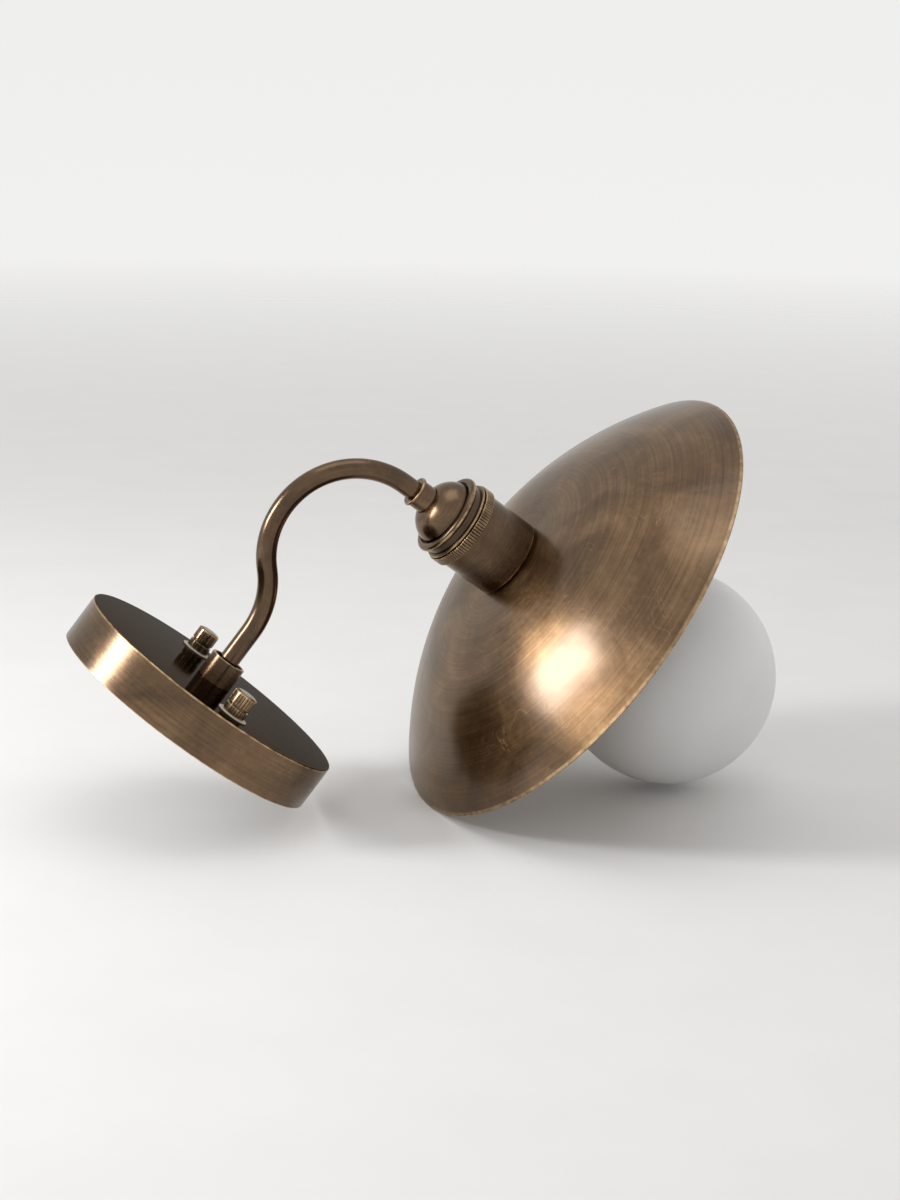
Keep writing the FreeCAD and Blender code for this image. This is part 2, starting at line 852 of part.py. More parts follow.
def make_dome_fixings():
    length = s.dome_nipple_tail - TUBE_END
    at_holder(ring("holder_nipple", NIPPLE_RADIUS, s.nipple_bore / 2, length), TUBE_END)
    washer_radius = s.dome_washer_diameter / 2
    washer_bore = NIPPLE_RADIUS + s.nipple_hole_clearance
    washer = ring("holder_washer", washer_radius, washer_bore, s.dome_washer_thickness)
    at_holder(washer, s.dome_wall)
    nut = hex_nut("holder_nut", s.nipple_nut_flats, NIPPLE_SEAT, s.nipple_nut_height, ZERO)
    at_holder(nut, HOLDER_NUT_START)


def make_dome_cap():
    """The domed cap, with a flat for the ferrule and a skirt that goes into the collar."""
    body = new_body("dome_cap")
    outer, wall = s.dome_diameter / 2, s.dome_wall
    flat = s.dome_flat_diameter / 2
    hole = NIPPLE_RADIUS + s.nipple_hole_clearance
    outline = [
        (hole, 0),
        (flat, 0, s.dome_radius),
        (outer, s.dome_height),
        (outer, DOME_END),
        (outer - wall, DOME_END),
        (outer - wall, s.dome_height, wall - s.dome_radius),
        (flat, wall),
        (hole, wall),
    ]
    revolve(body, "dome_cap_spun", outline)
    at_holder(body)


def make_knurled_collar():
    """The collar between cap and shell: a round bead, a groove, a thin bead and a knurled band."""
    body = new_body("knurled_collar")
    start = s.collar_start
    bead, groove, band = s.bead_diameter / 2, s.groove_diameter / 2, s.band_diameter / 2
    round_bead, thin = s.bead_radius, s.thin_bead_radius
    thin_start = start + s.thin_bead_start
    bore = s.dome_diameter / 2 + s.collar_bore_clearance
    mouth = s.dome_diameter / 2 + s.collar_mouth_gap
    socket = s.shell_spigot_diameter / 2 + s.shell_spigot_clearance
    socket_start = start + s.collar_bore_length
    chamfer = s.band_chamfer
    outline = [
        (mouth, start),
        (bead - round_bead, start, round_bead),
        (bead, start + round_bead, round_bead),
        (bead - round_bead, start + 2 * round_bead),
        (groove, start + 2 * round_bead),
        (groove, thin_start),
        (bead - thin, thin_start, thin),
        (bead, thin_start + thin, thin),
        (bead - thin, thin_start + 2 * thin),
        (bead - thin, BAND_START),
        (band - chamfer, BAND_START),
        (band, BAND_START + chamfer),
        (band, COLLAR_END - chamfer),
        (band - chamfer, COLLAR_END),
        (socket, COLLAR_END),
        (socket, socket_start),
        (bore, socket_start),
        (bore, start + round_bead),
        (mouth, start + round_bead),
    ]
    revolve(body, "collar_turned", outline)
    depth = s.band_tooth_depth

    def notch(sketch):
        polar_notch(sketch, band, depth, depth * 1.3)

    tooth = pocket(body, "collar_tooth", "XY_Plane", s.band_height, notch, COLLAR_END)
    polar(body, "collar_knurl", tooth, s.band_teeth)
    at_holder(body)


def make_holder_shell():
    """The smooth shell. Its spigot goes into the collar, and its floor holds the insert's flange."""
    body = new_body("holder_shell")
    outer, spigot = s.shell_diameter / 2, s.shell_spigot_diameter / 2
    inner = outer - s.shell_wall
    hole = INSERT_RADIUS + s.insert_clearance
    outline = [
        (inner, SHELL_START),
        (spigot, SHELL_START),
        (spigot, COLLAR_END),
        (outer, COLLAR_END),
        (outer, SHELL_END - s.shell_chamfer_height),
        (outer - s.shell_chamfer, SHELL_END),
        (hole, SHELL_END),
        (hole, SHELL_FLOOR),
        (inner, SHELL_FLOOR),
    ]
    revolve(body, "holder_shell_turned", outline)
    at_holder(body)


def make_holder_insert():
    """The insulating insert: a thick floor, a flange under the shell's floor and a threaded skirt."""
    body = new_body("holder_insert")
    flange = INSERT_RADIUS + s.insert_flange
    flange_start = SHELL_FLOOR - s.insert_flange_height
    cavity = s.contact_shell_diameter / 2 + s.insert_clearance
    outline = [
        (0, INSERT_BOTTOM),
        (INSERT_RADIUS, INSERT_BOTTOM),
        (INSERT_RADIUS, flange_start),
        (flange, flange_start),
        (flange, SHELL_FLOOR),
        (INSERT_RADIUS, SHELL_FLOOR),
        (INSERT_RADIUS, INSERT_MOUTH),
        (cavity, INSERT_MOUTH),
        (cavity, INSERT_FLOOR_TOP),
        (0, INSERT_FLOOR_TOP),
    ]
    revolve(body, "holder_insert_moulded", outline)

    def rivet_holes(sketch):
        for side in (-1, 1):
            radius = s.rivet_diameter / 2 + s.thread_clearance
            draw_circle(sketch, side * s.lug_offset, 0, radius)

    depth = s.insert_floor + 2
    pocket(body, "rivet_holes", "XY_Plane", depth, rivet_holes, INSERT_FLOOR_TOP + 1)
    at_holder(body)


def make_contacts():
    """The screw shell with its tab, and the sprung centre contact, both on the insert's floor."""
    body = new_body("screw_shell")
    outer = s.contact_shell_diameter / 2
    inner = outer - s.contact_shell_wall
    mouth = INSERT_MOUTH - s.insert_flange_height
    outline = [
        (inner, INSERT_FLOOR_TOP),
        (outer, INSERT_FLOOR_TOP),
        (outer, mouth),
        (inner, mouth),
    ]
    revolve(body, "screw_shell_wall", outline)
    thick, width = s.contact_thickness, s.contact_width / 2
    rivet = s.rivet_diameter / 2 + s.thread_clearance

    def tab(sketch):
        left = s.lug_offset - s.contact_width / 2
        draw_box(sketch, left, outer - s.contact_shell_wall / 2, -width, width)

    def tab_hole(sketch):
        draw_circle(sketch, s.lug_offset, 0, rivet)

    pad(body, "screw_shell_tab", "XY_Plane", thick, tab, INSERT_FLOOR_TOP)
    top = INSERT_FLOOR_TOP + thick
    pocket(body, "screw_shell_hole", "XY_Plane", thick, tab_hole, top)
    at_holder(body)

    leaf = new_body("centre_contact")

    def strip(sketch):
        rise, slope, tip = s.contact_rise, s.contact_slope, s.contact_tip
        far = -s.lug_offset - width
        foot = -tip / 2 - slope
        lower = [(far, 0), (foot, 0), (-tip / 2, rise - thick), (tip / 2, rise - thick)]
        upper = [(tip / 2, rise), (-tip / 2, rise), (foot, thick), (far, thick)]
        draw(sketch, lower + upper)

    def leaf_hole(sketch):
        draw_circle(sketch, -s.lug_offset, 0, rivet)

    pad(leaf, "contact_strip", "XZ_Plane", s.contact_width, strip, symmetric=True)
    pocket(leaf, "contact_hole", "XY_Plane", thick + 1, leaf_hole, thick + 0.5)
    at_holder(leaf, INSERT_FLOOR_TOP)


def make_rivets():
    """One rivet on each side ties a terminal lug to its contact through the insert's floor."""
    rivets = []
    for side, sign in (("left", -1), ("right", 1)):
        x = sign * s.lug_offset
        top = s.insert_floor + s.contact_thickness
        shank = cylinder(f"rivet_shank_{side}", s.rivet_diameter / 2, top, ZERO, x)
        head_radius = s.rivet_head_diameter / 2
        head = cylinder(f"rivet_head_{side}", head_radius, s.rivet_head_height, top, x)
        rivets.append(fuse(f"rivet_{side}", [shank, head]))
    at_holder(group("holder_rivets", rivets), INSERT_BOTTOM)


def make_lugs():
    """Brass terminal lugs under the insert's floor, each with a wire hole and a clamp screw."""
    lugs, screws = [], []
    wire = s.wire_diameter / 2 + s.wire_hole_clearance
    half = s.lug_depth / 2
    screw, head = s.clamp_screw_diameter / 2, s.clamp_screw_head_diameter / 2
    for side, sign in (("left", -1), ("right", 1)):
        x = sign * s.lug_offset
        size = (s.lug_width, s.lug_depth, s.lug_height)
        blank = block(f"lug_blank_{side}", x - s.lug_width / 2, -half, ZERO, *size)
        hole = cylinder(f"lug_wire_hole_{side}", wire, s.lug_wire_depth + 1, as_size(-1), x)
        drilled = cut(f"lug_drilled_{side}", blank, hole)
        height = s.lug_wire_depth / 2
        bore = screw + s.thread_clearance
        thread = lying(f"lug_thread_{side}", bore, half + 1, x, ZERO, height)
        lugs.append(cut(f"lug_{side}", drilled, thread))
        start = -s.wire_diameter / 2
        shank = lying(f"lug_screw_shank_{side}", screw, half + start, x, start, height)
        thick = s.clamp_screw_head_height
        cap = lying(f"lug_screw_head_{side}", head, thick, x, -half, height)
        screws.append(fuse(f"lug_screw_{side}", [shank, cap]))
    at_holder(group("terminal_lugs", lugs), LUG_BOTTOM)
    at_holder(group("lug_screws", screws), LUG_BOTTOM)


# ---------------------------------------------------------------- shade


def make_shade():
    """The spun shade: flat at the centre, then a shoulder arc and a flatter flank out to the rim."""
    body = new_body("shade")
    thick, flat = s.shade_thickness, s.shade_flat_radius
    shoulder, flank = s.shade_shoulder_radius, s.shade_flank_radius
    turn = s.shade_shoulder_angle
    rim = s.shade_diameter / 2
    hole = INSERT_RADIUS + s.shade_hole_clearance
    knee_r = flat + shoulder * sine(turn)
    knee_z = shoulder * (1 - cosine(turn))
    centre_r = knee_r - flank * sine(turn)
    centre_z = knee_z + flank * cosine(turn)
    lean = (rim - centre_r) / flank
    level = root(1 - lean * lean)
    rim_z = centre_z - flank * level
    outline = [
        (hole, 0),
        (flat, 0, shoulder),
        (knee_r, knee_z, flank),
        (rim, rim_z),
        (rim - thick * lean, rim_z + thick * level, thick - flank),
        (knee_r - thick * sine(turn), knee_z + thick * cosine(turn), thick - shoulder),
        (flat, thick),
        (hole, thick),
    ]
    revolve(body, "shade_spun", outline)
    at_holder(body, SHELL_END)


def make_shade_ring():
    """The threaded ring that clamps the shade, with finger grips round it, and its gasket."""
    gasket_bore = INSERT_RADIUS + s.gasket_clearance
    gasket = ring("shade_gasket", s.gasket_diameter / 2, gasket_bore, s.gasket_thickness)
    at_holder(gasket, SHADE_INSIDE)

    body = new_body("shade_ring")
    bore = INSERT_RADIUS + s.ring_clearance
    outer, height = s.ring_diameter / 2, s.ring_height
    revolve(body, "shade_ring_turned", [(bore, 0), (outer, 0), (outer, height), (bore, height)])

    def grip(sketch):
        centre = outer + s.ring_grip_radius - s.ring_grip_depth
        draw_circle(sketch, centre, 0, s.ring_grip_radius)

    tooth = pocket(body, "shade_ring_grip", "XY_Plane", height + 2, grip, height + 1)
    polar(body, "shade_ring_grips", tooth, s.ring_grips)
    at_holder(body, RING_START)


# ---------------------------------------------------------------- globe lamp


def make_bulb_glass():
    """A globe whose neck flows into it with a fillet, and a stub that is cemented in the cap."""
    body = new_body("bulb_glass")
    globe, wall = s.globe_diameter / 2, s.glass_wall
    neck, fillet = s.lamp_neck_diameter / 2, s.lamp_neck_fillet
    stub = s.lamp_stub_diameter / 2
    top = s.lamp_length
    centre = top - globe
    centres = globe + fillet
    fillet_z = centre - root(centres * centres - (neck + fillet) * (neck + fillet))
    share = globe / centres
    meet_r = share * (neck + fillet)
    meet_z = centre - share * (centre - fillet_z)
    inner_share = (globe - wall) / centres
    inside_r = inner_share * (neck + fillet)
    inside_z = centre - inner_share * (centre - fillet_z)
    outline = [
        (stub - wall, s.lamp_stub_start),
        (stub, s.lamp_stub_start),
        (stub, s.lamp_cap_end),
        (neck, s.lamp_cap_end),
        (neck, fillet_z, -fillet),
        (meet_r, meet_z, globe, centre),
        (0, top),
        (0, top - wall, wall - globe, centre),
        (inside_r, inside_z, fillet + wall),
        (neck - wall, fillet_z),
        (neck - wall, s.lamp_cap_end + wall),
        (stub - wall, s.lamp_cap_end + wall),
    ]
    revolve(body, "bulb_glass_blown", outline)
    at_holder(body, LAMP_TIP)


def make_bulb_cap():
    """The lamp's metal cap, drawn in at its foot, with an insulator and a centre contact below."""
    body = new_body("bulb_cap")
    outer, wall = s.lamp_cap_diameter / 2, s.lamp_cap_wall
    start, taper = s.lamp_cap_start, s.lamp_cap_taper
    mouth = s.lamp_cap_mouth_diameter / 2
    outline = [
        (mouth - wall, start),
        (mouth, start),
        (outer, start + taper),
        (outer, s.lamp_cap_end),
        (outer - wall, s.lamp_cap_end),
        (outer - wall, start + taper),
        (mouth - wall, start + wall),
    ]
    revolve(body, "bulb_cap_drawn", outline)
    at_holder(body, LAMP_TIP)

    insulator = new_body("bulb_insulator")
    plug = mouth - wall - s.lamp_clearance
    foot = s.lamp_insulator_foot_diameter / 2
    low = s.lamp_contact_height
    outline = [
        (0, low),
        (foot, low),
        (mouth, start),
        (plug, start),
        (plug, start + s.lamp_plug_height),
        (0, start + s.lamp_plug_height),
    ]
    revolve(insulator, "bulb_insulator_moulded", outline)
    at_holder(insulator, LAMP_TIP)

    contact = new_body("bulb_contact")
    radius, height = s.lamp_contact_diameter / 2, s.lamp_contact_height
    half = height / 2
    outline = [(0, 0), (radius - half, 0, half), (radius, half), (radius, height), (0, height)]
    revolve(contact, "bulb_contact_pressed", outline)
    at_holder(contact, LAMP_TIP)


# ---------------------------------------------------------------- wiring


def make_terminal_block():
    """A three-pole block on the bracket's lower arm, with a screw tower at each end of a pole."""
    body = new_body("terminal_block")
    half = s.pole_pitch + s.block_margin
    low = -s.block_drop - s.block_depth
    top = BLOCK_FRONT + s.block_tower
    poles = [step * s.pole_pitch for step in (-1, 0, 1)]
    ends = [side * s.block_tower_spacing / 2 - BLOCK_MIDDLE for side in (-1, 1)]

    def base(sketch):
        draw_box(sketch, -half, half, low, -s.block_drop)

    def towers(sketch):
        for x in poles:
            for y in ends:
                draw_circle(sketch, x, y, s.block_tower_diameter / 2)

    def sleeve_holes(sketch):
        for x in poles:
            draw_circle(sketch, x, WIRE_DEPTH, s.sleeve_diameter / 2 + s.thread_clearance)

    def screw_holes(sketch):
        for x in poles:
            for y in ends:
                draw_circle(sketch, x, y, s.block_screw_diameter / 2 + s.thread_clearance)

    def fixing_holes(sketch):
        for side in (-1, 1):
            radius = s.fixing_screw_diameter / 2 + s.thread_clearance
            draw_circle(sketch, side * s.pole_pitch / 2, -BLOCK_MIDDLE, radius)

    pad(body, "block_base", "XY_Plane", s.block_base, base, s.bracket_thickness)
    tower = s.block_base + s.block_tower
    pad(body, "block_towers", "XY_Plane", tower, towers, s.bracket_thickness)
    length = s.block_depth + 2
    pocket(body, "block_sleeve_holes", "XZ_Plane", length, sleeve_holes, BLOCK_MIDDLE, True)
    depth = top - WIRE_DEPTH + 1
    pocket(body, "block_screw_holes", "XY_Plane", depth, screw_holes, top + 1)
    pocket(body, "block_fixing_holes", "XY_Plane", s.block_base + 2, fixing_holes, BLOCK_FRONT + 1)
    wall_side(body)

    sleeves, screws, fixings = [], [], []
    length = s.block_depth - 2 * s.sleeve_recess
    start = -s.block_drop - s.sleeve_recess
    radius = s.block_screw_diameter / 2
    hole = radius + s.thread_clearance
    touch = WIRE_DEPTH + s.wire_diameter / 2
    for number, x in enumerate(poles, start=1):
        name = f"sleeve_{number}"
        blank = lying(f"{name}_blank", s.sleeve_diameter / 2, length, x, start, WIRE_DEPTH)
        bore = lying(f"{name}_bore", s.sleeve_bore / 2, length + 2, x, start + 1, WIRE_DEPTH)
        sleeve = cut(f"{name}_tube", blank, bore)
        for end, y in zip(("low", "high"), ends):
            tool = cylinder(f"{name}_tap_{end}", hole, s.sleeve_diameter, WIRE_DEPTH, x, y)
            sleeve = cut(f"{name}_tapped_{end}", sleeve, tool)
            screw_length = top - s.block_screw_drop - touch
            screws.append(
                cylinder(f"pole_screw_{number}_{end}", radius, screw_length, touch, x, y)
            )
        sleeves.append(sleeve)
    for side, sign in (("left", -1), ("right", 1)):
        x = sign * s.pole_pitch / 2
        shank = cylinder(
            f"fixing_shank_{side}", s.fixing_screw_diameter / 2, BLOCK_FRONT, ZERO, x, -BLOCK_MIDDLE
        )
        head_radius, thick = s.fixing_screw_head_diameter / 2, s.fixing_screw_head_height
        head = cylinder(f"fixing_head_{side}", head_radius, thick, BLOCK_FRONT, x, -BLOCK_MIDDLE)
        fixings.append(fuse(f"fixing_screw_{side}", [shank, head]))
    wall_side(group("block_sleeves", sleeves))
    wall_side(group("block_screws", screws))
    wall_side(group("block_fixing_screws", fixings))


def make_earth_parts():
    """The earth screw on the bracket's upper arm, and the ring terminal under its head."""
    front, thick = s.bracket_thickness, s.terminal_thickness
    height = s.earth_screw_height
    shank = s.earth_screw_diameter / 2
    seat = front + thick
    body = new_body("earth_screw")
    head, top = s.earth_head_diameter / 2, seat + s.earth_head_height
    outline = [(0, 0), (shank, 0), (shank, seat), (head, seat), (head, top), (0, top)]
    revolve(body, "earth_screw_turned", outline)
    wall_side(body)
    body.setExpression("Placement.Base.z", height.text)

    barrel = s.barrel_diameter / 2
    edge = height - s.terminal_diameter / 2
    disc = cylinder("terminal_disc", s.terminal_diameter / 2, thick, front, ZERO, height)
    tongue_length = s.barrel_length + s.terminal_diameter / 2
    low = edge - s.barrel_length
    tongue = block("terminal_tongue", -barrel / 2, low, front, barrel, tongue_length, thick)
    tube = lying("terminal_barrel", barrel, s.barrel_length, ZERO, edge, BARREL_DEPTH)
    blank = fuse("terminal_blank", [disc, tongue, tube])
    hole = cylinder("terminal_hole", shank + s.thread_clearance, seat, front - 1, ZERO, height)
    bored = cut("terminal_bored", blank, hole)
    wire = s.wire_diameter / 2 + s.thread_clearance
    bore = lying("terminal_bore", wire, s.barrel_length + 2, ZERO, edge + 1, BARREL_DEPTH)
    wall_side(keep(cut("earth_terminal", bored, bore), "earth_terminal"))


def wire_path(points, radii):
    """A path of straight runs joined by tangent arcs. The radii belong to the inner points."""
    edges, start = [], points[0]
    for before, corner, after, radius in zip(points, points[1:], points[2:], radii):
        inward, outward = (corner - before).normalize(), (after - corner).normalize()
        turn = inward.getAngle(outward)
        setback = radius * math.tan(turn / 2)
        first, last = corner - inward * setback, corner + outward * setback
        inside = (outward - inward).normalize()
        middle = corner + inside * (radius / math.cos(turn / 2) - radius)
        if (first - start).Length > 1e-4:
            edges.append(Part.LineSegment(start, first).toShape())
        edges.append(Part.Arc(first, middle, last).toShape())
        start = last
    edges.append(Part.LineSegment(start, points[-1]).toShape())
    return Part.Wire(edges)


def make_wire(name, points, radii):
    """A round insulated wire along its path, as one solid."""
    places = [Vector(*(as_size(value).value for value in point)) for point in points]
    path = wire_path(places, [radius.value for radius in radii])
    radius = (s.wire_diameter / 2).value
    circle = Part.Circle(places[0], places[1] - places[0], radius).toShape()
    solid = path.makePipeShell([Part.Wire([circle])], True, True)
    expected = math.pi * radius**2 * path.Length
    if abs(solid.Volume / expected - 1) > 0.01:
        raise ValueError(f"{name} has a volume of {solid.Volume:.1f} instead of {expected:.1f}")
    wire = document.addObject("Part::Feature", name)
    wire.Shape = solid
    keep(wire, name)


def make_wires():
    """Live and neutral run side by side from the lampholder to the block; earth stays behind."""
    bend, small = s.wire_bend, s.wire_small_bend
    depth = -WIRE_DEPTH
    block_end = -s.block_drop - s.wire_entry
    lug_end = HOLDER_Z + LUG_BOTTOM + s.lug_wire_depth
    fan_top = HOLDER_Z + LUG_BOTTOM - small
    nipple_top = HOLDER_Z + s.dome_nipple_tail
    half_drop = s.drop_angle / 2
    turn_down = FIRST_STRAIGHT + s.bend_radius * sine(half_drop) / cosine(half_drop)
    run_up = s.bend_radius * cosine(half_drop) / sine(half_drop)
    radii = [small, small, s.bend_radius, s.bend_radius, bend, small, small]
    for name, sign in (("live_wire", -1), ("neutral_wire", 1)):
        lane = sign * s.wire_spacing / 2
        lug = sign * s.lug_offset
        pole = sign * s.pole_pitch
        points = [
            (lug, -s.reach, lug_end),
            (lug, -s.reach, fan_top),
            (lane, -s.reach, nipple_top + small),
            (lane, -s.reach, RISE_Z - run_up),
            (lane, -turn_down, 0),
            (lane, depth, 0),
            (lane, depth, -s.wire_fan),
            (pole, depth, small - s.block_drop),
            (pole, depth, block_end),
        ]
        make_wire(name, points, radii)
    barrel_end = s.earth_screw_height - s.terminal_diameter / 2 - s.barrel_length
    points = [
        (0, depth, block_end),
        (0, depth, small / 2 - s.block_drop),
        (0, -BARREL_DEPTH, -s.wire_fan - small / 2),
        (0, -BARREL_DEPTH, barrel_end + s.barrel_length),
    ]
    make_wire("earth_wire", points, [bend, bend])


# ---------------------------------------------------------------- the whole light

make_canopy()
make_mounting_bracket()
for side, sign in (("left", -1), ("right", 1)):
    stud_x = sign * s.stud_spacing / 2
    make_stud(side, stud_x)
    make_lock_nut(side, stud_x)
    make_washer(side, stud_x)
    make_cap_nut(side, stud_x)
make_hub()
make_canopy_fixings()
make_arm_tube()
make_ferrule()
make_dome_fixings()
make_dome_cap()
make_knurled_collar()
make_holder_shell()
make_holder_insert()
make_contacts()
make_rivets()
make_lugs()
make_shade()
make_shade_ring()
make_bulb_glass()
make_bulb_cap()
make_terminal_block()
make_earth_parts()
make_wires()

document.recompute()
for thing in document.Objects:
    if "Invalid" in thing.State or "Error" in thing.State:
        raise RuntimeError(f"{thing.Label} failed: {thing.State}")
for part in made:
    if part.Shape.isNull() or not part.Shape.isValid():
        raise RuntimeError(f"{part.Label} has no valid shape")

os.makedirs("parts", exist_ok=True)
for part in made:
    part.Shape.exportStep(f"parts/{part.Label}.step")
    box = part.Shape.BoundBox
    size = f"{box.XLength:.1f} x {box.YLength:.1f} x {box.ZLength:.1f}"
    print(f"{part.Label}: {len(part.Shape.Solids)} solids, {part.Shape.Volume:.0f} mm3, {size}")
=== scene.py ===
"""Looks of the wall sconce: canopy, gooseneck arm, lampholder, spun brass shade and opal globe.

Everything is in the CAD's row frame: the wall is the plane y = 0, the canopy's axis is Y, the arm
reaches out along -Y and the shade opens along +Z. Sizes here are millimetres, turned into Blender's
metres when a mesh is made.
"""

import json
import math

import bmesh
import bpy
from mathutils import Matrix, Vector


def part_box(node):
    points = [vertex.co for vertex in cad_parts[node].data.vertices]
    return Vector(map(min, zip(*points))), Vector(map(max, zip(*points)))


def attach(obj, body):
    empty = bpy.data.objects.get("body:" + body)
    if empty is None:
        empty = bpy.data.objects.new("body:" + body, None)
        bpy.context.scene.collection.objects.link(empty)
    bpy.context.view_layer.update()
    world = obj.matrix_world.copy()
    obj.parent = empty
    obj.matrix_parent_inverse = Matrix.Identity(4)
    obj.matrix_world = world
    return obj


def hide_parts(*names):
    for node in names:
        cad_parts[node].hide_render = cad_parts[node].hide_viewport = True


MM = 0.001
FULL_TURN = 2 * math.pi
TOUCH = 0.01  # heights that differ by less count as the same
NEAR_AXIS = 1e-6
WEAR_REACH = 0.45  # how far wear runs on from a corner's arc
SHARP = math.radians(38)  # faces that meet at more than this stay sharp

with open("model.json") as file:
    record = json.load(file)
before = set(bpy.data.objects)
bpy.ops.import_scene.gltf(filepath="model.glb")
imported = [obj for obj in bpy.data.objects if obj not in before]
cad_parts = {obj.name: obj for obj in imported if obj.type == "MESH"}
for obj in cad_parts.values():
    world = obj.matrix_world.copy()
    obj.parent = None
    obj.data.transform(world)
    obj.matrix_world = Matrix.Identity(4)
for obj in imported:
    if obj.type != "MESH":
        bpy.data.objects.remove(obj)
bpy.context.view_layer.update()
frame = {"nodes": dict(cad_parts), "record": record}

# ---------------------------------------------------------------- sizes taken from the frame


def corners(node):
    """Lowest and highest corner of a CAD node, in millimetres."""
    low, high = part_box(node)
    return low / MM, high / MM


def turned_radius(node):
    """Radius of a CAD node that is round about an upright or outward axis."""
    low, high = corners(node)
    return (high.x - low.x) / 2


def rise(node):
    """Lowest and highest z of a CAD node."""
    low, high = corners(node)
    return low.z, high.z


def off_wall(node):
    """Least and greatest distance of a CAD node from the wall."""
    low, high = corners(node)
    return -high.y, -low.y


collar_low, collar_high = corners("knurled_collar")
HOLDER_Y = (collar_low.y + collar_high.y) / 2
NUT_X = corners("cap_nut_right")[0].x + turned_radius("cap_nut_right")
CANOPY_RADIUS = turned_radius("canopy")
CANOPY_FACE = off_wall("canopy")[1]
TUBE_RADIUS = turned_radius("arm_tube")
TUBE_SEAT = TUBE_RADIUS + 0.02

# ---------------------------------------------------------------- turned meshes


def upright(x=0.0, y=HOLDER_Y):
    """Places a turned point on an upright axis: h is z."""
    return lambda r, h, a: (x + r * math.cos(a), y + r * math.sin(a), h)


def outward(x=0.0, z=0.0):
    """Places a turned point on an axis that leaves the wall: h is the distance from the wall."""
    return lambda r, h, a: (x + r * math.cos(a), -h, z + r * math.sin(a))


def signed_area(points):
    """Twice the area inside a closed outline, positive when it runs anticlockwise."""
    pairs = zip(points, points[1:] + points[:1])
    return sum(p[0] * q[1] - q[0] * p[1] for p, q in pairs)


def round_corner(before, corner, after, radius, mark, steps=6):
    """The arc that replaces a corner between two straight sides, as (r, h, edge) points.

    Its edge value is mark, and fades to nothing a little way along both sides. The arc and the
    fade stay within this corner's half of the shorter side.
    """
    arc_limit, fade_limit, fade_share = 0.48, 0.499, 0.8
    to_before, to_after = before - corner, after - corner
    half = to_before.angle(to_after) / 2
    shorter = min(to_before.length, to_after.length)
    cut = min(radius / math.tan(half), arc_limit * shorter)
    fade = cut + min(WEAR_REACH, fade_share * (fade_limit * shorter - cut))
    radius = cut * math.tan(half)
    to_before.normalize()
    to_after.normalize()
    centre = corner + (to_before + to_after).normalized() * radius / math.sin(half)
    start, end = corner + to_before * cut - centre, corner + to_after * cut - centre
    yield (*(corner + to_before * fade), 0.0)
    for step in range(steps + 1):
        blend = start.normalized().lerp(end.normalized(), step / steps).normalized()
        yield (*(centre + blend * radius), mark)
    yield (*(corner + to_after * fade), 0.0)


def soften(outline):
    """Rounds the corners of a closed outline: (r, h[, corner radius]) becomes (r, h, edge).

    The edge value is 1 on a raised corner, -1 in a nook and 0 elsewhere.
    """
    flat = [Vector(p[:2]) for p in outline]
    turn = 1 if signed_area(flat) > 0 else -1
    out = []
    for index, point in enumerate(outline):
        if len(point) < 3:
            out.append((*point, 0.0))
            continue
        before, corner, after = flat[index - 1], flat[index], flat[(index + 1) % len(flat)]
        cross = (corner - before).cross(after - corner) * turn
        out += round_corner(before, corner, after, point[2], 1.0 if cross > 0 else -1.0)
    return out


def soften_open(outline):
    """Rounds the inner corners of an open run of points, all of them raised."""
    out = [(*outline[0][:2], 0.0)]
    for index in range(1, len(outline) - 1):
        before, corner, after = (Vector(outline[index + k][:2]) for k in (-1, 0, 1))
        out += round_corner(before, corner, after, outline[index][2], 1.0)
    return out + [(*outline[-1][:2], 0.0)]


def arc(centre, radius, start, end, steps):
    """Outline points on an arc, angles in degrees from the r axis towards h."""
    for step in range(steps + 1):
        angle = math.radians(start + (end - start) * step / steps)
        yield centre[0] + radius * math.cos(angle), centre[1] + radius * math.sin(angle)


def between(point, after, count):
    """The points that split a side into equal parts; no wear falls on them."""
    for step in range(1, count):
        share = step / count
        yield (*(a + (b - a) * share for a, b in zip(point[:2], after[:2])), 0.0)


def divide(points, low, high, pitch):
    """Splits the sides that lie between two heights, for a knurl or thread to follow."""
    out = []
    for index, point in enumerate(points):
        after = points[(index + 1) % len(points)]
        inside = all(low - TOUCH <= p[1] <= high + TOUCH for p in (point, after))
        count = math.ceil(abs(after[1] - point[1]) / pitch) if inside else 1
        out += [point, *between(point, after, count)]
    return out


def divide_long(points, pitch):
    """Splits every long side, apart from those that end on the axis."""
    out = []
    for index, point in enumerate(points):
        after = points[(index + 1) % len(points)]
        reach = math.hypot(after[0] - point[0], after[1] - point[1])
        count = max(1, round(reach / pitch)) if after[0] else 1
        out += [point, *between(point, after, count)]
    return out


def new_object(name, verts, faces, body, replaced, materials, edges, turns):
    """A shaded mesh object that rides on a body and stands for CAD nodes."""
    mesh = bpy.data.meshes.new(name)
    mesh.from_pydata([Vector(v) * MM for v in verts], [], faces)
    wear = mesh.attributes.new("edge", "FLOAT", "POINT")
    wear.data.foreach_set("value", edges)
    direction = mesh.attributes.new("turn", "FLOAT_VECTOR", "POINT")
    direction.data.foreach_set("vector", [c for v in turns for c in v])
    made = bmesh.new()
    made.from_mesh(mesh)
    bmesh.ops.recalc_face_normals(made, faces=made.faces)
    made.to_mesh(mesh)
    made.free()
    mesh.polygons.foreach_set("use_smooth", [True] * len(mesh.polygons))
    mesh.set_sharp_from_angle(angle=SHARP)
    thing = bpy.data.objects.new(name, mesh)
    bpy.context.scene.collection.objects.link(thing)
    for material in materials:
        mesh.materials.append(material)
    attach(thing, body)
    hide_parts(*replaced)
    return thing


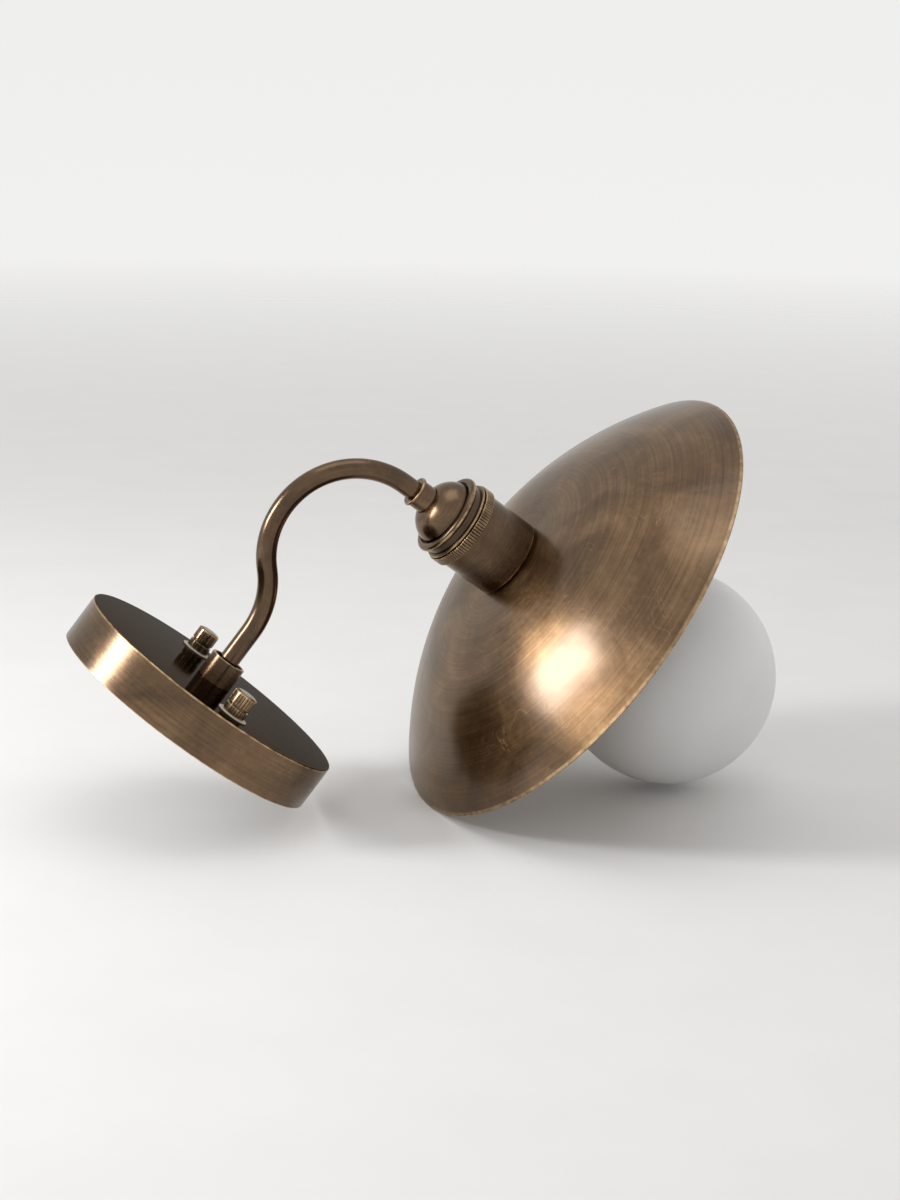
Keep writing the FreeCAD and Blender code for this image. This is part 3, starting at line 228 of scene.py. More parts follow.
def lathe(name, place, points, body, materials, replaced, segments=192, ripple=None,
          pick=None):
    """A closed outline of (r, h, edge) points turned round an axis.

    ripple(r, h, angle) gives a change of radius and a share of wear; pick(r, h) a material index.
    """
    verts, edges, turns, spots = [], [], [], []
    length = 0.0
    for index, (r, h, edge) in enumerate(points):
        if index:
            length += math.hypot(r - points[index - 1][0], h - points[index - 1][1])
        on_axis = r < NEAR_AXIS
        spots.append((len(verts), on_axis))
        for step in range(1 if on_axis else segments):
            angle = FULL_TURN * step / segments
            change, wear = ripple(r, h, angle) if ripple and not on_axis else (0.0, 0.0)
            verts.append(place(r + change, h, angle))
            edges.append(max(edge, wear) if wear else edge)
            turns.append((math.cos(angle), math.sin(angle), length))
    faces, marks = [], []
    for index, (first, pole) in enumerate(spots):
        after = (index + 1) % len(spots)
        second, next_pole = spots[after]
        if pole and next_pole:
            continue
        middle = [(a + b) / 2 for a, b in zip(points[index][:2], points[after][:2])]
        for step in range(segments):
            follow = (step + 1) % segments
            if pole:
                face = (first, second + step, second + follow)
            elif next_pole:
                face = (first + step, second, first + follow)
            else:
                face = (first + step, second + step, second + follow, first + follow)
            faces.append(face)
            marks.append(pick(*middle) if pick else 0)
    thing = new_object(name, verts, faces, body, replaced, materials, edges, turns)
    if pick:
        thing.data.polygons.foreach_set("material_index", marks)
    return thing


def drill_tool(x, y, z, radius):
    """A short rod along Y that cuts a round hole."""
    sides, depth = 64, 8.0
    tool = bmesh.new()
    bmesh.ops.create_cone(tool, cap_ends=True, segments=sides, radius1=radius * MM,
                          radius2=radius * MM, depth=depth * MM)
    bmesh.ops.rotate(tool, verts=tool.verts, matrix=Matrix.Rotation(math.pi / 2, 3, "X"))
    bmesh.ops.translate(tool, verts=tool.verts, vec=Vector((x, y, z)) * MM)
    return tool


def bar_tool(centre, size):
    """A bar that cuts a straight slot."""
    tool = bmesh.new()
    bmesh.ops.create_cube(tool, size=MM)
    bmesh.ops.scale(tool, verts=tool.verts, vec=Vector(size))
    bmesh.ops.translate(tool, verts=tool.verts, vec=Vector(centre) * MM)
    return tool


def cut(thing, *tools):
    """Takes each tool out of a mesh object."""
    for tool in tools:
        mesh = bpy.data.meshes.new("cutter")
        tool.to_mesh(mesh)
        tool.free()
        cutter = bpy.data.objects.new("cutter", mesh)
        bpy.context.scene.collection.objects.link(cutter)
        removal = thing.modifiers.new("removal", "BOOLEAN")
        removal.object, removal.solver = cutter, "EXACT"
        graph = bpy.context.evaluated_depsgraph_get()
        result = bpy.data.meshes.new_from_object(thing.evaluated_get(graph))
        thing.modifiers.clear()
        thing.data = result
        bpy.data.objects.remove(cutter)


# ---------------------------------------------------------------- materials


class Finish:
    """A node material in the making: each method adds a node and returns its output."""

    def __init__(self, name, **values):
        self.material = bpy.data.materials.new(name)
        self.material.use_nodes = True
        self.tree = self.material.node_tree
        self.shader = self.tree.nodes["Principled BSDF"]
        for key, value in values.items():
            self.shader.inputs[key.replace("_", " ")].default_value = value

    def link(self, value, socket):
        """Links an output to a socket, or writes a plain value there."""
        if isinstance(value, bpy.types.NodeSocket):
            self.tree.links.new(value, socket)
        else:
            socket.default_value = value

    def node(self, kind, output=0, options=None, **inputs):
        """Adds a shader node: options sets its properties, inputs its sockets by name."""
        made = self.tree.nodes.new("ShaderNode" + kind)
        for key, value in (options or {}).items():
            setattr(made, key, value)
        for key, value in inputs.items():
            self.link(value, made.inputs[key.replace("_", " ")])
        return made.outputs[output]

    def math(self, operation, a, b=0.0):
        """One operation on two values."""
        made = self.tree.nodes.new("ShaderNodeMath")
        made.operation = operation
        self.link(a, made.inputs[0])
        self.link(b, made.inputs[1])
        return made.outputs[0]

    def stretch(self, vector, scale):
        """Multiplies a vector by three factors."""
        made = self.tree.nodes.new("ShaderNodeVectorMath")
        made.operation = "MULTIPLY"
        self.link(vector, made.inputs[0])
        made.inputs[1].default_value = scale
        return made.outputs[0]

    def place(self):
        """Object coordinates in millimetres."""
        return self.stretch(self.node("TexCoord", output="Object"), (1 / MM,) * 3)

    def turn(self):
        """The lathe's (cos, sin, length along the outline) of a point."""
        return self.node("Attribute", output="Vector", options={"attribute_name": "turn"})

    def edge(self):
        """How raised (1) or sunk (-1) a point's corner is."""
        return self.node("Attribute", output="Fac", options={"attribute_name": "edge"})

    def noise(self, vector, scale, detail=2.0, rough=0.5, distortion=0.0):
        """Smooth noise about one half, with scale waves to each unit of the vector."""
        return self.node("TexNoise", Vector=vector, Scale=scale, Detail=detail, Roughness=rough,
                         Distortion=distortion)

    def fit(self, value, low, high, to_low=0.0, to_high=1.0):
        """Maps a range of a value to another, held at both ends."""
        return self.node("MapRange", **{"Value": value, "From_Min": low, "From_Max": high,
                                        "To_Min": to_low, "To_Max": to_high})

    def mix(self, share, a, b):
        """Blends two colours; the node keeps its colour sockets at these places."""
        factor, first, second, result = 0, 6, 7, 2
        made = self.tree.nodes.new("ShaderNodeMix")
        made.data_type = "RGBA"
        self.link(share, made.inputs[factor])
        self.link(a, made.inputs[first])
        self.link(b, made.inputs[second])
        return made.outputs[result]

    def bump(self, height, distance, strength=1.0, normal=None):
        """Relief with a depth in millimetres, laid over another normal if there is one."""
        inputs = {"Height": height, "Distance": distance * MM, "Strength": strength}
        if normal is not None:
            inputs["Normal"] = normal
        return self.node("Bump", **inputs)

    def finish(self, colour, rough, normal):
        """Links the last nodes to the shader and returns the material."""
        for value, label in ((colour, "Base Color"), (rough, "Roughness"), (normal, "Normal")):
            self.link(value, self.shader.inputs[label])
        return self.material


def tone(red, green, blue):
    """An opaque colour."""
    return (red, green, blue, 1.0)


PATINA_DARK = tone(0.060, 0.034, 0.016)
PATINA = tone(0.152, 0.086, 0.040)
PATINA_LIGHT = tone(0.290, 0.178, 0.088)
WORN = tone(0.600, 0.410, 0.215)
EDGE_TINT = tone(0.62, 0.57, 0.50)
# Dark edge tint of the polished canopy face: with its near-black colour it paints in a dark
# reflection of dark surroundings, in place of the brass's own tone.
FACE_PAINTED_DARK_TINT = tone(0.20, 0.185, 0.17)
QUARTER_TURN = 0.25  # sets the gloss across the brushed lines
LACQUER_ROUGHNESS = 0.2


def brass(name, axis="Z", roughness=0.34, anisotropy=0.62, light=0.5, brush=1.0, lines=9.0,
          across=1.6, wear=0.8, scratches=0.6, tint=EDGE_TINT, coat=0.62, contrast=1.0):
    """Aged, lacquered brass with fine lines round the piece (lines per mm), worn bright on edges.

    A small lines value and a large across value turn the lines along the piece instead.
    """
    f = Finish(name, Metallic=1.0, Anisotropic=anisotropy, Anisotropic_Rotation=QUARTER_TURN,
               Specular_Tint=tint, Coat_Weight=coat, Coat_Roughness=LACQUER_ROUGHNESS)
    spot, turn, edge = f.place(), f.turn(), f.edge()
    if anisotropy:
        tangent = f.node("Tangent", options={"direction_type": "RADIAL", "axis": axis})
        f.link(tangent, f.shader.inputs["Tangent"])

    # brushed lines, fine and coarse, and the patina's clouds, large and small
    coarse_across, coarse_lines = across * 0.56, lines * 0.16
    fine = f.noise(f.stretch(turn, (across, across, lines)), 1.0, 3, 0.65)
    coarse = f.noise(f.stretch(turn, (coarse_across, coarse_across, coarse_lines)), 1.0, 3, 0.6)
    cloud = f.noise(spot, 0.035, 4, 0.55, 0.6)
    mottle = f.noise(spot, 0.42, 4, 0.6)

    # their sum runs the colour from dark to light; each of them is one half on average
    layers = ((cloud, 0.68), (mottle, 0.16), (fine, 0.28 * brush), (coarse, 0.3 * brush))
    share = 0.0
    for layer, weight in layers:
        share = f.math("ADD", share, f.math("MULTIPLY", layer, weight))
    middle = sum(weight for _, weight in layers) / 2
    spread = 0.22 / contrast
    share = f.fit(share, middle - spread, middle + spread, light - 0.5, light + 0.5)
    colour = f.mix(f.fit(share, 0.0, 0.5), PATINA_DARK, PATINA)
    colour = f.mix(f.fit(share, 0.5, 1.0), colour, PATINA_LIGHT)
    nook = f.fit(edge, -1.0, -0.2, 0.65, 0.0)
    colour = f.mix(nook, colour, PATINA_DARK)

    # wear on raised corners and hair scratches in patches, both down to bright metal
    chipped = f.fit(f.noise(spot, 0.3, 3, 0.55), 0.24, 0.62)
    worn = f.math("MULTIPLY", f.fit(edge, 0.25, 1.0), f.math("MULTIPLY", chipped, wear))
    line = f.math("ABSOLUTE", f.math("SUBTRACT", f.noise(spot, 0.075, 1, 0.4, 1.6), 0.5))
    hair = f.fit(line, 0.0, 0.0035, 1.0, 0.0)
    patch = f.fit(f.noise(spot, 0.05, 2), 0.52, 0.6)
    hair = f.math("MULTIPLY", f.math("MULTIPLY", hair, patch), scratches)
    bright = f.math("MAXIMUM", worn, f.math("MULTIPLY", hair, 0.55))
    colour = f.mix(bright, colour, WORN)

    # gloss and relief follow the lines, the clouds and the wear
    line_rough, mottle_rough, worn_gloss = 0.05 * brush, 0.03, 0.08
    rough = f.math("ADD", f.fit(fine, 0.3, 0.7, -line_rough, line_rough),
                   f.fit(mottle, 0.3, 0.7, roughness - mottle_rough, roughness + mottle_rough))
    rough = f.math("SUBTRACT", rough, f.math("MULTIPLY", worn, worn_gloss))
    line_depth, swell, hair_depth = 0.012 * brush, 0.25 * max(brush, 0.16), 0.2
    normal = f.bump(fine, line_depth, 0.8)
    surface = f.math("SUBTRACT", cloud, f.math("MULTIPLY", hair, hair_depth))
    return f.finish(colour, rough, f.bump(surface, swell, 0.5, normal))


def shades(colour, spread):
    """A darker and a paler tone on both sides of a colour."""
    dark = tone(*[c * (1 - spread) for c in colour])
    pale = tone(*[min(1.0, c * (1 + spread)) for c in colour])
    return dark, pale


def metal(name, colour, roughness, spread=0.12, grain=0.9):
    """Plated or plain metal with soft clouds in its colour and fine grain in its gloss."""
    f = Finish(name, Metallic=1.0)
    spot = f.place()
    cloud, dust = f.noise(spot, 0.16, 4, 0.6, 0.4), f.noise(spot, grain * 3, 3, 0.6)
    dark, pale = shades(colour, spread)
    share = f.math("ADD", f.math("MULTIPLY", cloud, 0.7), f.math("MULTIPLY", dust, 0.3))
    rough = f.fit(dust, 0.3, 0.7, roughness - 0.06, roughness + 0.06)
    return f.finish(f.mix(f.fit(share, 0.35, 0.65), dark, pale), rough, f.bump(dust, 0.02, 0.6))


def moulded(name, colour, roughness, spread=0.1, grain=0.05, pitch=1.6, **values):
    """Moulded plastic, rubber or fibre: a slight mottle and a fine textured skin."""
    f = Finish(name, **values)
    spot = f.place()
    cloud, skin = f.noise(spot, 0.12, 3, 0.6), f.noise(spot, pitch, 3, 0.6)
    dark, pale = shades(colour, spread)
    rough = f.fit(skin, 0.3, 0.7, roughness - 0.06, roughness + 0.06)
    return f.finish(f.mix(f.fit(cloud, 0.35, 0.65), dark, pale), rough, f.bump(skin, grain, 0.6))


def striped(name, ground, stripe, pitch=7.0, share=0.3):
    """Insulation with a coloured stripe wound round the wire."""
    f = Finish(name)
    spot = f.place()
    x = f.node("SeparateXYZ", Vector=spot)
    y = x.node.outputs["Y"]
    wave = f.math("SINE", f.math("MULTIPLY", f.math("ADD", x, y), FULL_TURN / pitch))
    mark = f.fit(wave, share - 0.08, share + 0.08)
    skin = f.noise(spot, 2.0, 2)
    return f.finish(f.mix(mark, tone(*ground), tone(*stripe)), f.fit(skin, 0.3, 0.7, 0.34, 0.46),
                    f.bump(skin, 0.02, 0.5))


def opal(name):
    """Etched opal glass: white through and through, with a soft skin."""
    f = Finish(name, IOR=1.5, Subsurface_Weight=0.35, Subsurface_Scale=4 * MM,
               Subsurface_Radius=(1.0, 0.95, 0.85))
    spot = f.place()
    cloud, skin = f.noise(spot, 0.03, 3, 0.5), f.noise(spot, 2.4, 3, 0.6)
    colour = f.mix(f.fit(cloud, 0.35, 0.65), tone(0.80, 0.795, 0.775), tone(0.84, 0.835, 0.82))
    return f.finish(colour, f.fit(skin, 0.3, 0.7, 0.40, 0.50), f.bump(skin, 0.012, 0.5))


canopy_wall = brass("canopy_side_brass", axis="Y", roughness=0.30, light=0.46, lines=7.0,
                    wear=0.9, scratches=0.3)
# The polished canopy face gets a near-black colour and a dark tint: a painted dark reflection,
# which the pale surroundings here would not give.
canopy_mirror_painted_dark = brass("canopy_face_brass_painted_dark", axis="Y", roughness=0.09, anisotropy=0.0, light=0.16,
                      brush=0.1, wear=0.9, scratches=0.15, tint=FACE_PAINTED_DARK_TINT, coat=0.0,
                      contrast=0.3)
inner_brass = brass("inner_brass", axis="Y", roughness=0.42, anisotropy=0.3, light=0.35,
                    wear=0.3, scratches=0.2, contrast=0.6)
arm_finish = brass("arm_satin_brass", roughness=0.22, anisotropy=0.0, light=0.3, brush=0.5,
                   lines=0.12, across=9.0, scratches=0.3)
hub_finish = brass("hub_turned_brass", axis="Y", roughness=0.26, anisotropy=0.4, light=0.28,
                   lines=10.0, wear=0.9)
ferrule_finish = brass("ferrule_turned_brass", roughness=0.26, anisotropy=0.4, light=0.32,
                       lines=10.0, wear=0.8)
holder_finish = brass("holder_turned_brass", roughness=0.27, anisotropy=0.5, light=0.3,
                      lines=12.0, wear=0.9, scratches=0.3)
shade_outer = brass("shade_spun_brass", roughness=0.35, anisotropy=0.66, light=0.5, lines=6.0)
shade_inner = brass("shade_inner_brass", roughness=0.32, anisotropy=0.6, light=0.6, lines=6.0)
nut_finish = brass("nut_knurled_brass", axis="Y", roughness=0.24, anisotropy=0.0, light=0.25,
                   brush=0.5, lines=10.0, wear=1.0, scratches=0.2)

SLOT_FINISH = {
    "canopy_brass": canopy_wall,
    "arm_brass": arm_finish,
    "holder_brass": holder_finish,
    "shade_brass": shade_outer,
    "nut_brass": nut_finish,
    "zinc_plated_steel": metal("zinc_plate", (0.50, 0.52, 0.53), 0.36, 0.16, 0.5),
    "fastener_steel": metal("plated_steel", (0.46, 0.46, 0.46), 0.30, 0.12, 1.2),
    "fibre": moulded("pressed_fibre", (0.62, 0.56, 0.46), 0.6, 0.15, 0.05),
    "black_thermoset": moulded("black_thermoset", (0.017, 0.016, 0.016), 0.38, 0.25, 0.04, 1.1),
    "gasket_rubber": moulded("gasket_rubber", (0.022, 0.022, 0.023), 0.62, 0.2, 0.05),
    "contact_brass": metal("stamped_brass", (0.66, 0.50, 0.24), 0.26, 0.12, 1.0),
    "live_insulation": moulded("brown_insulation", (0.105, 0.042, 0.018), 0.4, 0.1, 0.02),
    "neutral_insulation": moulded("blue_insulation", (0.022, 0.085, 0.31), 0.4, 0.1, 0.02),
    "earth_insulation": striped("earth_insulation", (0.06, 0.27, 0.05), (0.72, 0.62, 0.06)),
    "block_plastic": moulded("block_plastic", (0.68, 0.68, 0.64), 0.42, 0.05, 0.03,
                             Subsurface_Weight=0.2, Subsurface_Scale=2 * MM),
    "opal_glass": opal("opal_glass"),
    "lamp_cap_metal": metal("lamp_cap_metal", (0.66, 0.66, 0.65), 0.24, 0.1, 1.4),
    "lamp_insulator": moulded("lamp_insulator", (0.012, 0.012, 0.014), 0.18, 0.2, 0.02),
    "lamp_solder": metal("lamp_solder", (0.50, 0.50, 0.49), 0.34, 0.2, 1.8),
}

for part in frame["record"]["subparts"]:
    node = frame["nodes"][part["node"]]
    node.data.materials.clear()
    node.data.materials.append(SLOT_FINISH[part["material_slot"]])


# ---------------------------------------------------------------- canopy and its fixings


def make_canopy():
    """The cup that covers the wall box, with holes for the nipple and the two studs."""
    wall, edge, lip, inner_edge, side_pitch = 1.2, 0.5, 0.3, 0.6, 2.5
    nipple_hole, stud_hole, polish_depth = 5.1, 2.3, 0.12
    inner_radius, inner_face = CANOPY_RADIUS - wall, CANOPY_FACE - wall
    outline = soften([
        (0.0, CANOPY_FACE),
        (CANOPY_RADIUS, CANOPY_FACE, edge),
        (CANOPY_RADIUS, 0.0, lip),
        (inner_radius, 0.0, lip),
        (inner_radius, inner_face, inner_edge),
        (0.0, inner_face),
    ])
    outside, face, inside = range(3)

    def pick(r, h):
        if r < CANOPY_RADIUS - wall / 2 and h < CANOPY_FACE - wall / 2:
            return inside
        return face if h > CANOPY_FACE - polish_depth else outside

    cup = lathe("canopy_cup", outward(), divide_long(outline, side_pitch), "root",
                # the second finish, on the face, carries the painted dark reflection
                [canopy_wall, canopy_mirror_painted_dark, inner_brass], ["canopy"], 360,
                pick=pick)
    y = -CANOPY_FACE
    cut(cup, drill_tool(0, y, 0, nipple_hole), drill_tool(NUT_X, y, 0, stud_hole),
        drill_tool(-NUT_X, y, 0, stud_hole))


def make_hub():
    """The stub that carries the arm: a short cylinder with a raised lip and a sunk top."""
    start, end = off_wall("hub")
    radius, lip, sunk, edge, nook = turned_radius("hub"), 1.1, 1.5, 0.3, 0.4
    outline = soften([
        (TUBE_SEAT, start),
        (radius, start, edge),
        (radius, end, edge),
        (radius - lip, end, edge),
        (radius - lip, end - sunk, nook),
        (TUBE_SEAT, end - sunk),
    ])
    lathe("hub_body", outward(), outline, "root", [hub_finish], ["hub"])


def make_cap_nut(side, x):
    """A knurled cap nut: a foot, a groove and a domed head with fine teeth."""
    node = f"cap_nut_{side}"
    start, end = off_wall(node)
    radius = turned_radius(node)
    foot, groove, sunk, dome = 3.3, 0.8, 0.6, 0.8
    teeth, depth, sharpness, tooth_wear, near = 24, 0.3, 2.4, 0.55, 0.12
    bore, bore_depth = 2.05, 7.2
    edge, nook, row_pitch = 0.25, 0.15, 0.5
    neck = radius - sunk
    head = start + foot + groove
    outline = soften([
        (bore, start, 0.2),
        (radius, start, edge),
        (radius, start + foot, edge),
        (neck, start + foot, nook),
        (neck, head, nook),
        (radius, head, edge),
        (radius, end - dome, 0.5),
        (radius * 0.72, end - dome * 0.3, 1.5),
        (0.0, end),
        (0.0, start + bore_depth),
        (bore, start + bore_depth),
    ])
    outline = divide(outline, head, end - dome, row_pitch)
    outline = divide(outline, start, start + foot, row_pitch)

    def teeth_round(r, h, angle):
        if abs(r - radius) > near:
            return 0.0, 0.0
        notch = max(0.0, 1 - abs(math.sin(angle * teeth / 2)) * sharpness)
        return -depth * notch, 0.0 if notch > 0.3 else tooth_wear

    lathe(f"knurled_nut_{side}", outward(x), outline, node, [nut_finish], [node],
          teeth * 12, ripple=teeth_round)


def make_washer(side, x):
    """The fibre washer under a cap nut, with a soft outer edge."""
    node = f"washer_{side}"
    start, end = off_wall(node)
    radius, bore, edge, bore_edge = turned_radius(node), 2.3, 0.2, 0.1
    outline = soften([(bore, start, bore_edge), (radius, start, edge), (radius, end, edge),
                      (bore, end, bore_edge)])
    lathe(f"fibre_washer_{side}", outward(x), outline, node, [SLOT_FINISH["fibre"]],
          [node], 96)


def make_stud(side, x):
    """A stud with a rolled thread and a pan head with a cross recess behind the bracket."""
    node = f"stud_{side}"
    start, end = off_wall(node)
    head_radius, head, shank = 3.8, 2.4, 2.0
    pitch, depth, run_in, row_pitch = 0.7, 0.2, 0.6, 0.14
    outline = soften([
        (0.0, start),
        (head_radius, start, 0.5),
        (head_radius, start + head, 0.3),
        (shank, start + head, 0.1),
        (shank, end, 0.4),
        (0.0, end),
    ])
    outline = divide(outline, start + head - 0.05, end, row_pitch)

    def thread(r, h, angle):
        if h < start + head + run_in or r < shank - 0.05:
            return 0.0, 0.0
        phase = (h / pitch - angle / FULL_TURN) % 1.0
        return -depth * abs(2 * phase - 1), 0.0

    screw = lathe(f"threaded_stud_{side}", outward(x), outline, "root",
                  [SLOT_FINISH["fastener_steel"]], [node], 64, ripple=thread)
    slot_width, slot_length, recess, clear = 0.9, 4.4, 1.3, 0.2
    middle = (x, -start - recess / 2 + clear / 2, 0)
    cut(screw, bar_tool(middle, (slot_length, recess + clear, slot_width)),
        bar_tool(middle, (slot_width, recess + clear, slot_length)))


# ---------------------------------------------------------------- arm and lampholder


def arm_route():
    """Centre line of the gooseneck as (y, z) points: out, down and then up to the holder."""
    start, bend, drop = off_wall("arm_tube")[0], 36.0, math.radians(45.0)
    down_steps, up_steps = 24, 72
    reach, end = -HOLDER_Y, rise("arm_tube")[1]
    straight_end = reach - bend * (math.sin(drop) + math.cos(drop)) - bend
    points = [(-start, 0.0), (-straight_end, 0.0)]
    for step in range(1, down_steps + 1):
        angle = drop * step / down_steps
        points.append((-straight_end - bend * math.sin(angle), -bend * (1 - math.cos(angle))))
    centre = (points[-1][0] - bend * math.sin(drop), points[-1][1] + bend * math.cos(drop))
    for step in range(1, up_steps + 1):
        angle = -drop + (math.pi / 2 + drop) * step / up_steps
        points.append((centre[0] - bend * math.sin(angle), centre[1] - bend * math.cos(angle)))
    points.append((points[-1][0], end))
    return points


def make_arm():
    """The bent tube, with an open bore at both ends."""
    wall, around = 1.0, 64
    route = arm_route()
    count = len(route)
    verts, turns, faces = [], [], []
    side = Vector((1.0, 0.0, 0.0))
    for radius in (TUBE_RADIUS, TUBE_RADIUS - wall):
        length = 0.0
        for index, (y, z) in enumerate(route):
            before, after = route[max(0, index - 1)], route[min(count - 1, index + 1)]
            length += math.hypot(y - before[0], z - before[1])
            along = Vector((0.0, after[0] - before[0], after[1] - before[1])).normalized()
            up = side.cross(along)
            for step in range(around):
                angle = FULL_TURN * step / around
                cos, sin = math.cos(angle), math.sin(angle)
                verts.append(Vector((0.0, y, z)) + (side * cos + up * sin) * radius)
                turns.append((cos, sin, length))
    for layer in range(2):
        for index in range(count - 1):
            for step in range(around):
                a = (layer * count + index) * around
                follow = (step + 1) % around
                faces.append((a + step, a + around + step, a + around + follow, a + follow))
    for index in (0, count - 1):
        for step in range(around):
            follow = (step + 1) % around
            a, b = index * around, (count + index) * around
            faces.append((a + step, a + follow, b + follow, b + step))
    new_object("gooseneck_tube", verts, faces, "root", ["arm_tube"], [arm_finish],
               [0.0] * len(verts), turns)


def make_ferrule():
    """The collar between arm and lampholder, with a rounded lip where the tube enters."""
    start, end = rise("ferrule")
    lip_radius, lip, lip_height, lip_edge = turned_radius("ferrule"), 0.7, 1.3, 0.6
    radius = lip_radius - lip
    outline = soften([
        (TUBE_SEAT, start, 0.2),
        (lip_radius, start, lip_edge),
        (lip_radius, start + lip_height, lip_edge),
        (radius, start + lip_height, 0.15),
        (radius, end),
        (TUBE_SEAT, end),
    ])
    lathe("arm_ferrule", upright(), outline, "root", [ferrule_finish], ["ferrule"])


def make_dome():
    """The domed cap, open below for the collar."""
    top, skirt_end = rise("dome_cap")
    radius, wall, flat, bend, height = turned_radius("dome_cap"), 1.0, 6.2, 11.0, 9.2
    bore, flat_edge, bend_steps = 4.95, 0.6, 40
    centre = (radius - bend, top + height)
    cover = [p for p in arc(centre, bend, 0, -90, bend_steps) if p[0] > flat]
    inner = [p for p in arc(centre, bend - wall, -90, 0, bend_steps) if p[0] > flat]
    points = [(*p, 0.0) for p in cover]
    points += [(flat, min(cover[-1][1], top + 0.05), flat_edge), (bore, top, 0.0),
               (bore, top + wall, 0.0)]
    points += [(*p, 0.0) for p in inner]
    points += [(radius - wall, skirt_end, 0.0), (radius, skirt_end, 0.0)]
    lathe("domed_cap", upright(), points, "root", [holder_finish], ["dome_cap"],
          256)


def make_collar():
    """The collar: a round bead, a groove, a thin bead and a band of straight knurling."""
    start, end = rise("knurled_collar")
    band = turned_radius("knurled_collar")
    bead, groove, bore, socket, mouth = 17.9, 16.6, 14.55, 16.8, 15.3
    round_bead, thin, thin_start, band_start, socket_start = 1.5, 0.75, 5.8, 7.4, 7.5
    teeth, depth, sharpness, tooth_wear = 90, 0.35, 1.9, 0.5
    near, raised, run_in, bead_wear, band_edge = 0.24, 0.26, 0.2, 0.9, 0.25

    def bulge(radius, low, steps, polished):
        """A half-round bead, worn along its middle."""
        middle = low + radius
        return [(r, h, bead_wear if abs(h - middle) < polished else 0.0)
                for r, h in arc((bead - radius, middle), radius, -90, 90, steps)]

    points = [(mouth, start, 0.0), *bulge(round_bead, start, 20, 0.6),
              (groove, start + 2 * round_bead, -1.0), (groove, start + thin_start, -1.0),
              *bulge(thin, start + thin_start, 12, 0.4), (bead - thin, start + band_start, -1.0)]
    points += soften_open([(bead - thin, start + band_start), (band, start + band_start, band_edge),
                           (band, end, band_edge), (socket, end)])[1:]
    points += [(socket, start + socket_start, 0.0), (bore, start + socket_start, 0.0),
               (bore, start + round_bead, 0.0), (mouth, start + round_bead, 0.0)]
    points = divide(points, start + band_start + 0.2, end - 0.2, 0.4)

    def knurl(r, h, angle):
        if r < band - near or h < start + band_start:
            return 0.0, 0.0
        notch = max(0.0, 1 - abs(math.sin(angle * teeth / 2)) * sharpness)
        fade = min(1.0, (r - band + raised) / run_in)
        return -depth * notch * fade, 0.0 if notch > 0.3 else tooth_wear

    lathe("knurled_band", upright(), points, "root", [holder_finish],
          ["knurled_collar"], teeth * 12, ripple=knurl)


def make_shell():
    """The smooth shell between the knurled band and the shade."""
    start, end = rise("holder_shell")
    radius = turned_radius("holder_shell")
    chamfer, chamfer_height, wall, floor, hole, tuck = 0.9, 1.5, 1.3, 1.2, 15.5, 0.6
    collar_end = rise("knurled_collar")[1]
    outline = soften([
        (radius - wall, start),
        (radius - tuck, start),
        (radius - tuck, collar_end),
        (radius, collar_end, 0.2),
        (radius, end - chamfer_height, 0.4),
        (radius - chamfer, end, 0.2),
        (hole, end),
        (hole, end - floor),
        (radius - wall, end - floor),
    ])
    outline = divide(outline, collar_end, end - chamfer_height, 2.0)
    lathe("smooth_shell", upright(), outline, "root", [holder_finish],
          ["holder_shell"])


# ---------------------------------------------------------------- shade and its ring


def make_shade():
    """The spun shade: a flat round the hole, a tight shoulder and a long flank to a rounded rim."""
    apex = rise("shade")[0]
    rim = turned_radius("shade")
    thickness, hole, flat, shoulder, turn, flank = 0.8, 15.7, 26.0, 91.0, 23.0, 166.0
    rim_bulge, rim_reach, rim_wear = 0.3, 1.2, 0.75
    flat_steps, shoulder_steps, flank_steps, rim_steps = 4, 30, 60, 8
    bend = math.radians(turn)
    shoulder_centre = (flat, apex + shoulder)
    meet = (flat + shoulder * math.sin(bend), apex + shoulder * (1 - math.cos(bend)))
    flank_centre = (meet[0] - flank * math.sin(bend), meet[1] + flank * math.cos(bend))
    slope = math.asin((rim - flank_centre[0]) / flank)
    last = math.degrees(slope) - 90

    def side(offset):
        """The wall's outer side (offset 0) or inner side, worn near the rim."""
        shares = (k / flat_steps for k in range(flat_steps))
        points = [(hole + (flat - hole) * share, apex + offset) for share in shares]
        points += arc(shoulder_centre, shoulder - offset, -90, turn - 90, shoulder_steps)
        points += list(arc(flank_centre, flank - offset, turn - 90, last, flank_steps))[1:]
        return [(r, h, rim_wear if rim - r < rim_reach else 0.0) for r, h in points]

    outer, inner = side(0.0), side(thickness)
    tip = [(a + b) / 2 for a, b in zip(outer[-1][:2], inner[-1][:2])]
    edge = []
    for step in range(1, rim_steps):
        angle = math.pi * step / rim_steps - math.pi / 2
        along, across = math.cos(angle) * thickness / 2, math.sin(angle) * thickness / 2
        edge.append((tip[0] + along * math.cos(slope) * rim_bulge - across * math.sin(slope),
                     tip[1] + along * math.sin(slope) + across * math.cos(slope), 1.0))
    outside, inside = range(2)

    def pick(r, h):
        if r <= flat:
            return inside if h > apex + thickness / 2 else outside
        if r < meet[0]:
            centre, radius = shoulder_centre, shoulder
        else:
            centre, radius = flank_centre, flank
        within = math.hypot(r - centre[0], h - centre[1]) < radius - thickness / 2
        return inside if within else outside

    lathe("spun_shade", upright(), outer + edge + inner[::-1], "root",
          [shade_outer, shade_inner], ["shade"], 360, pick=pick)


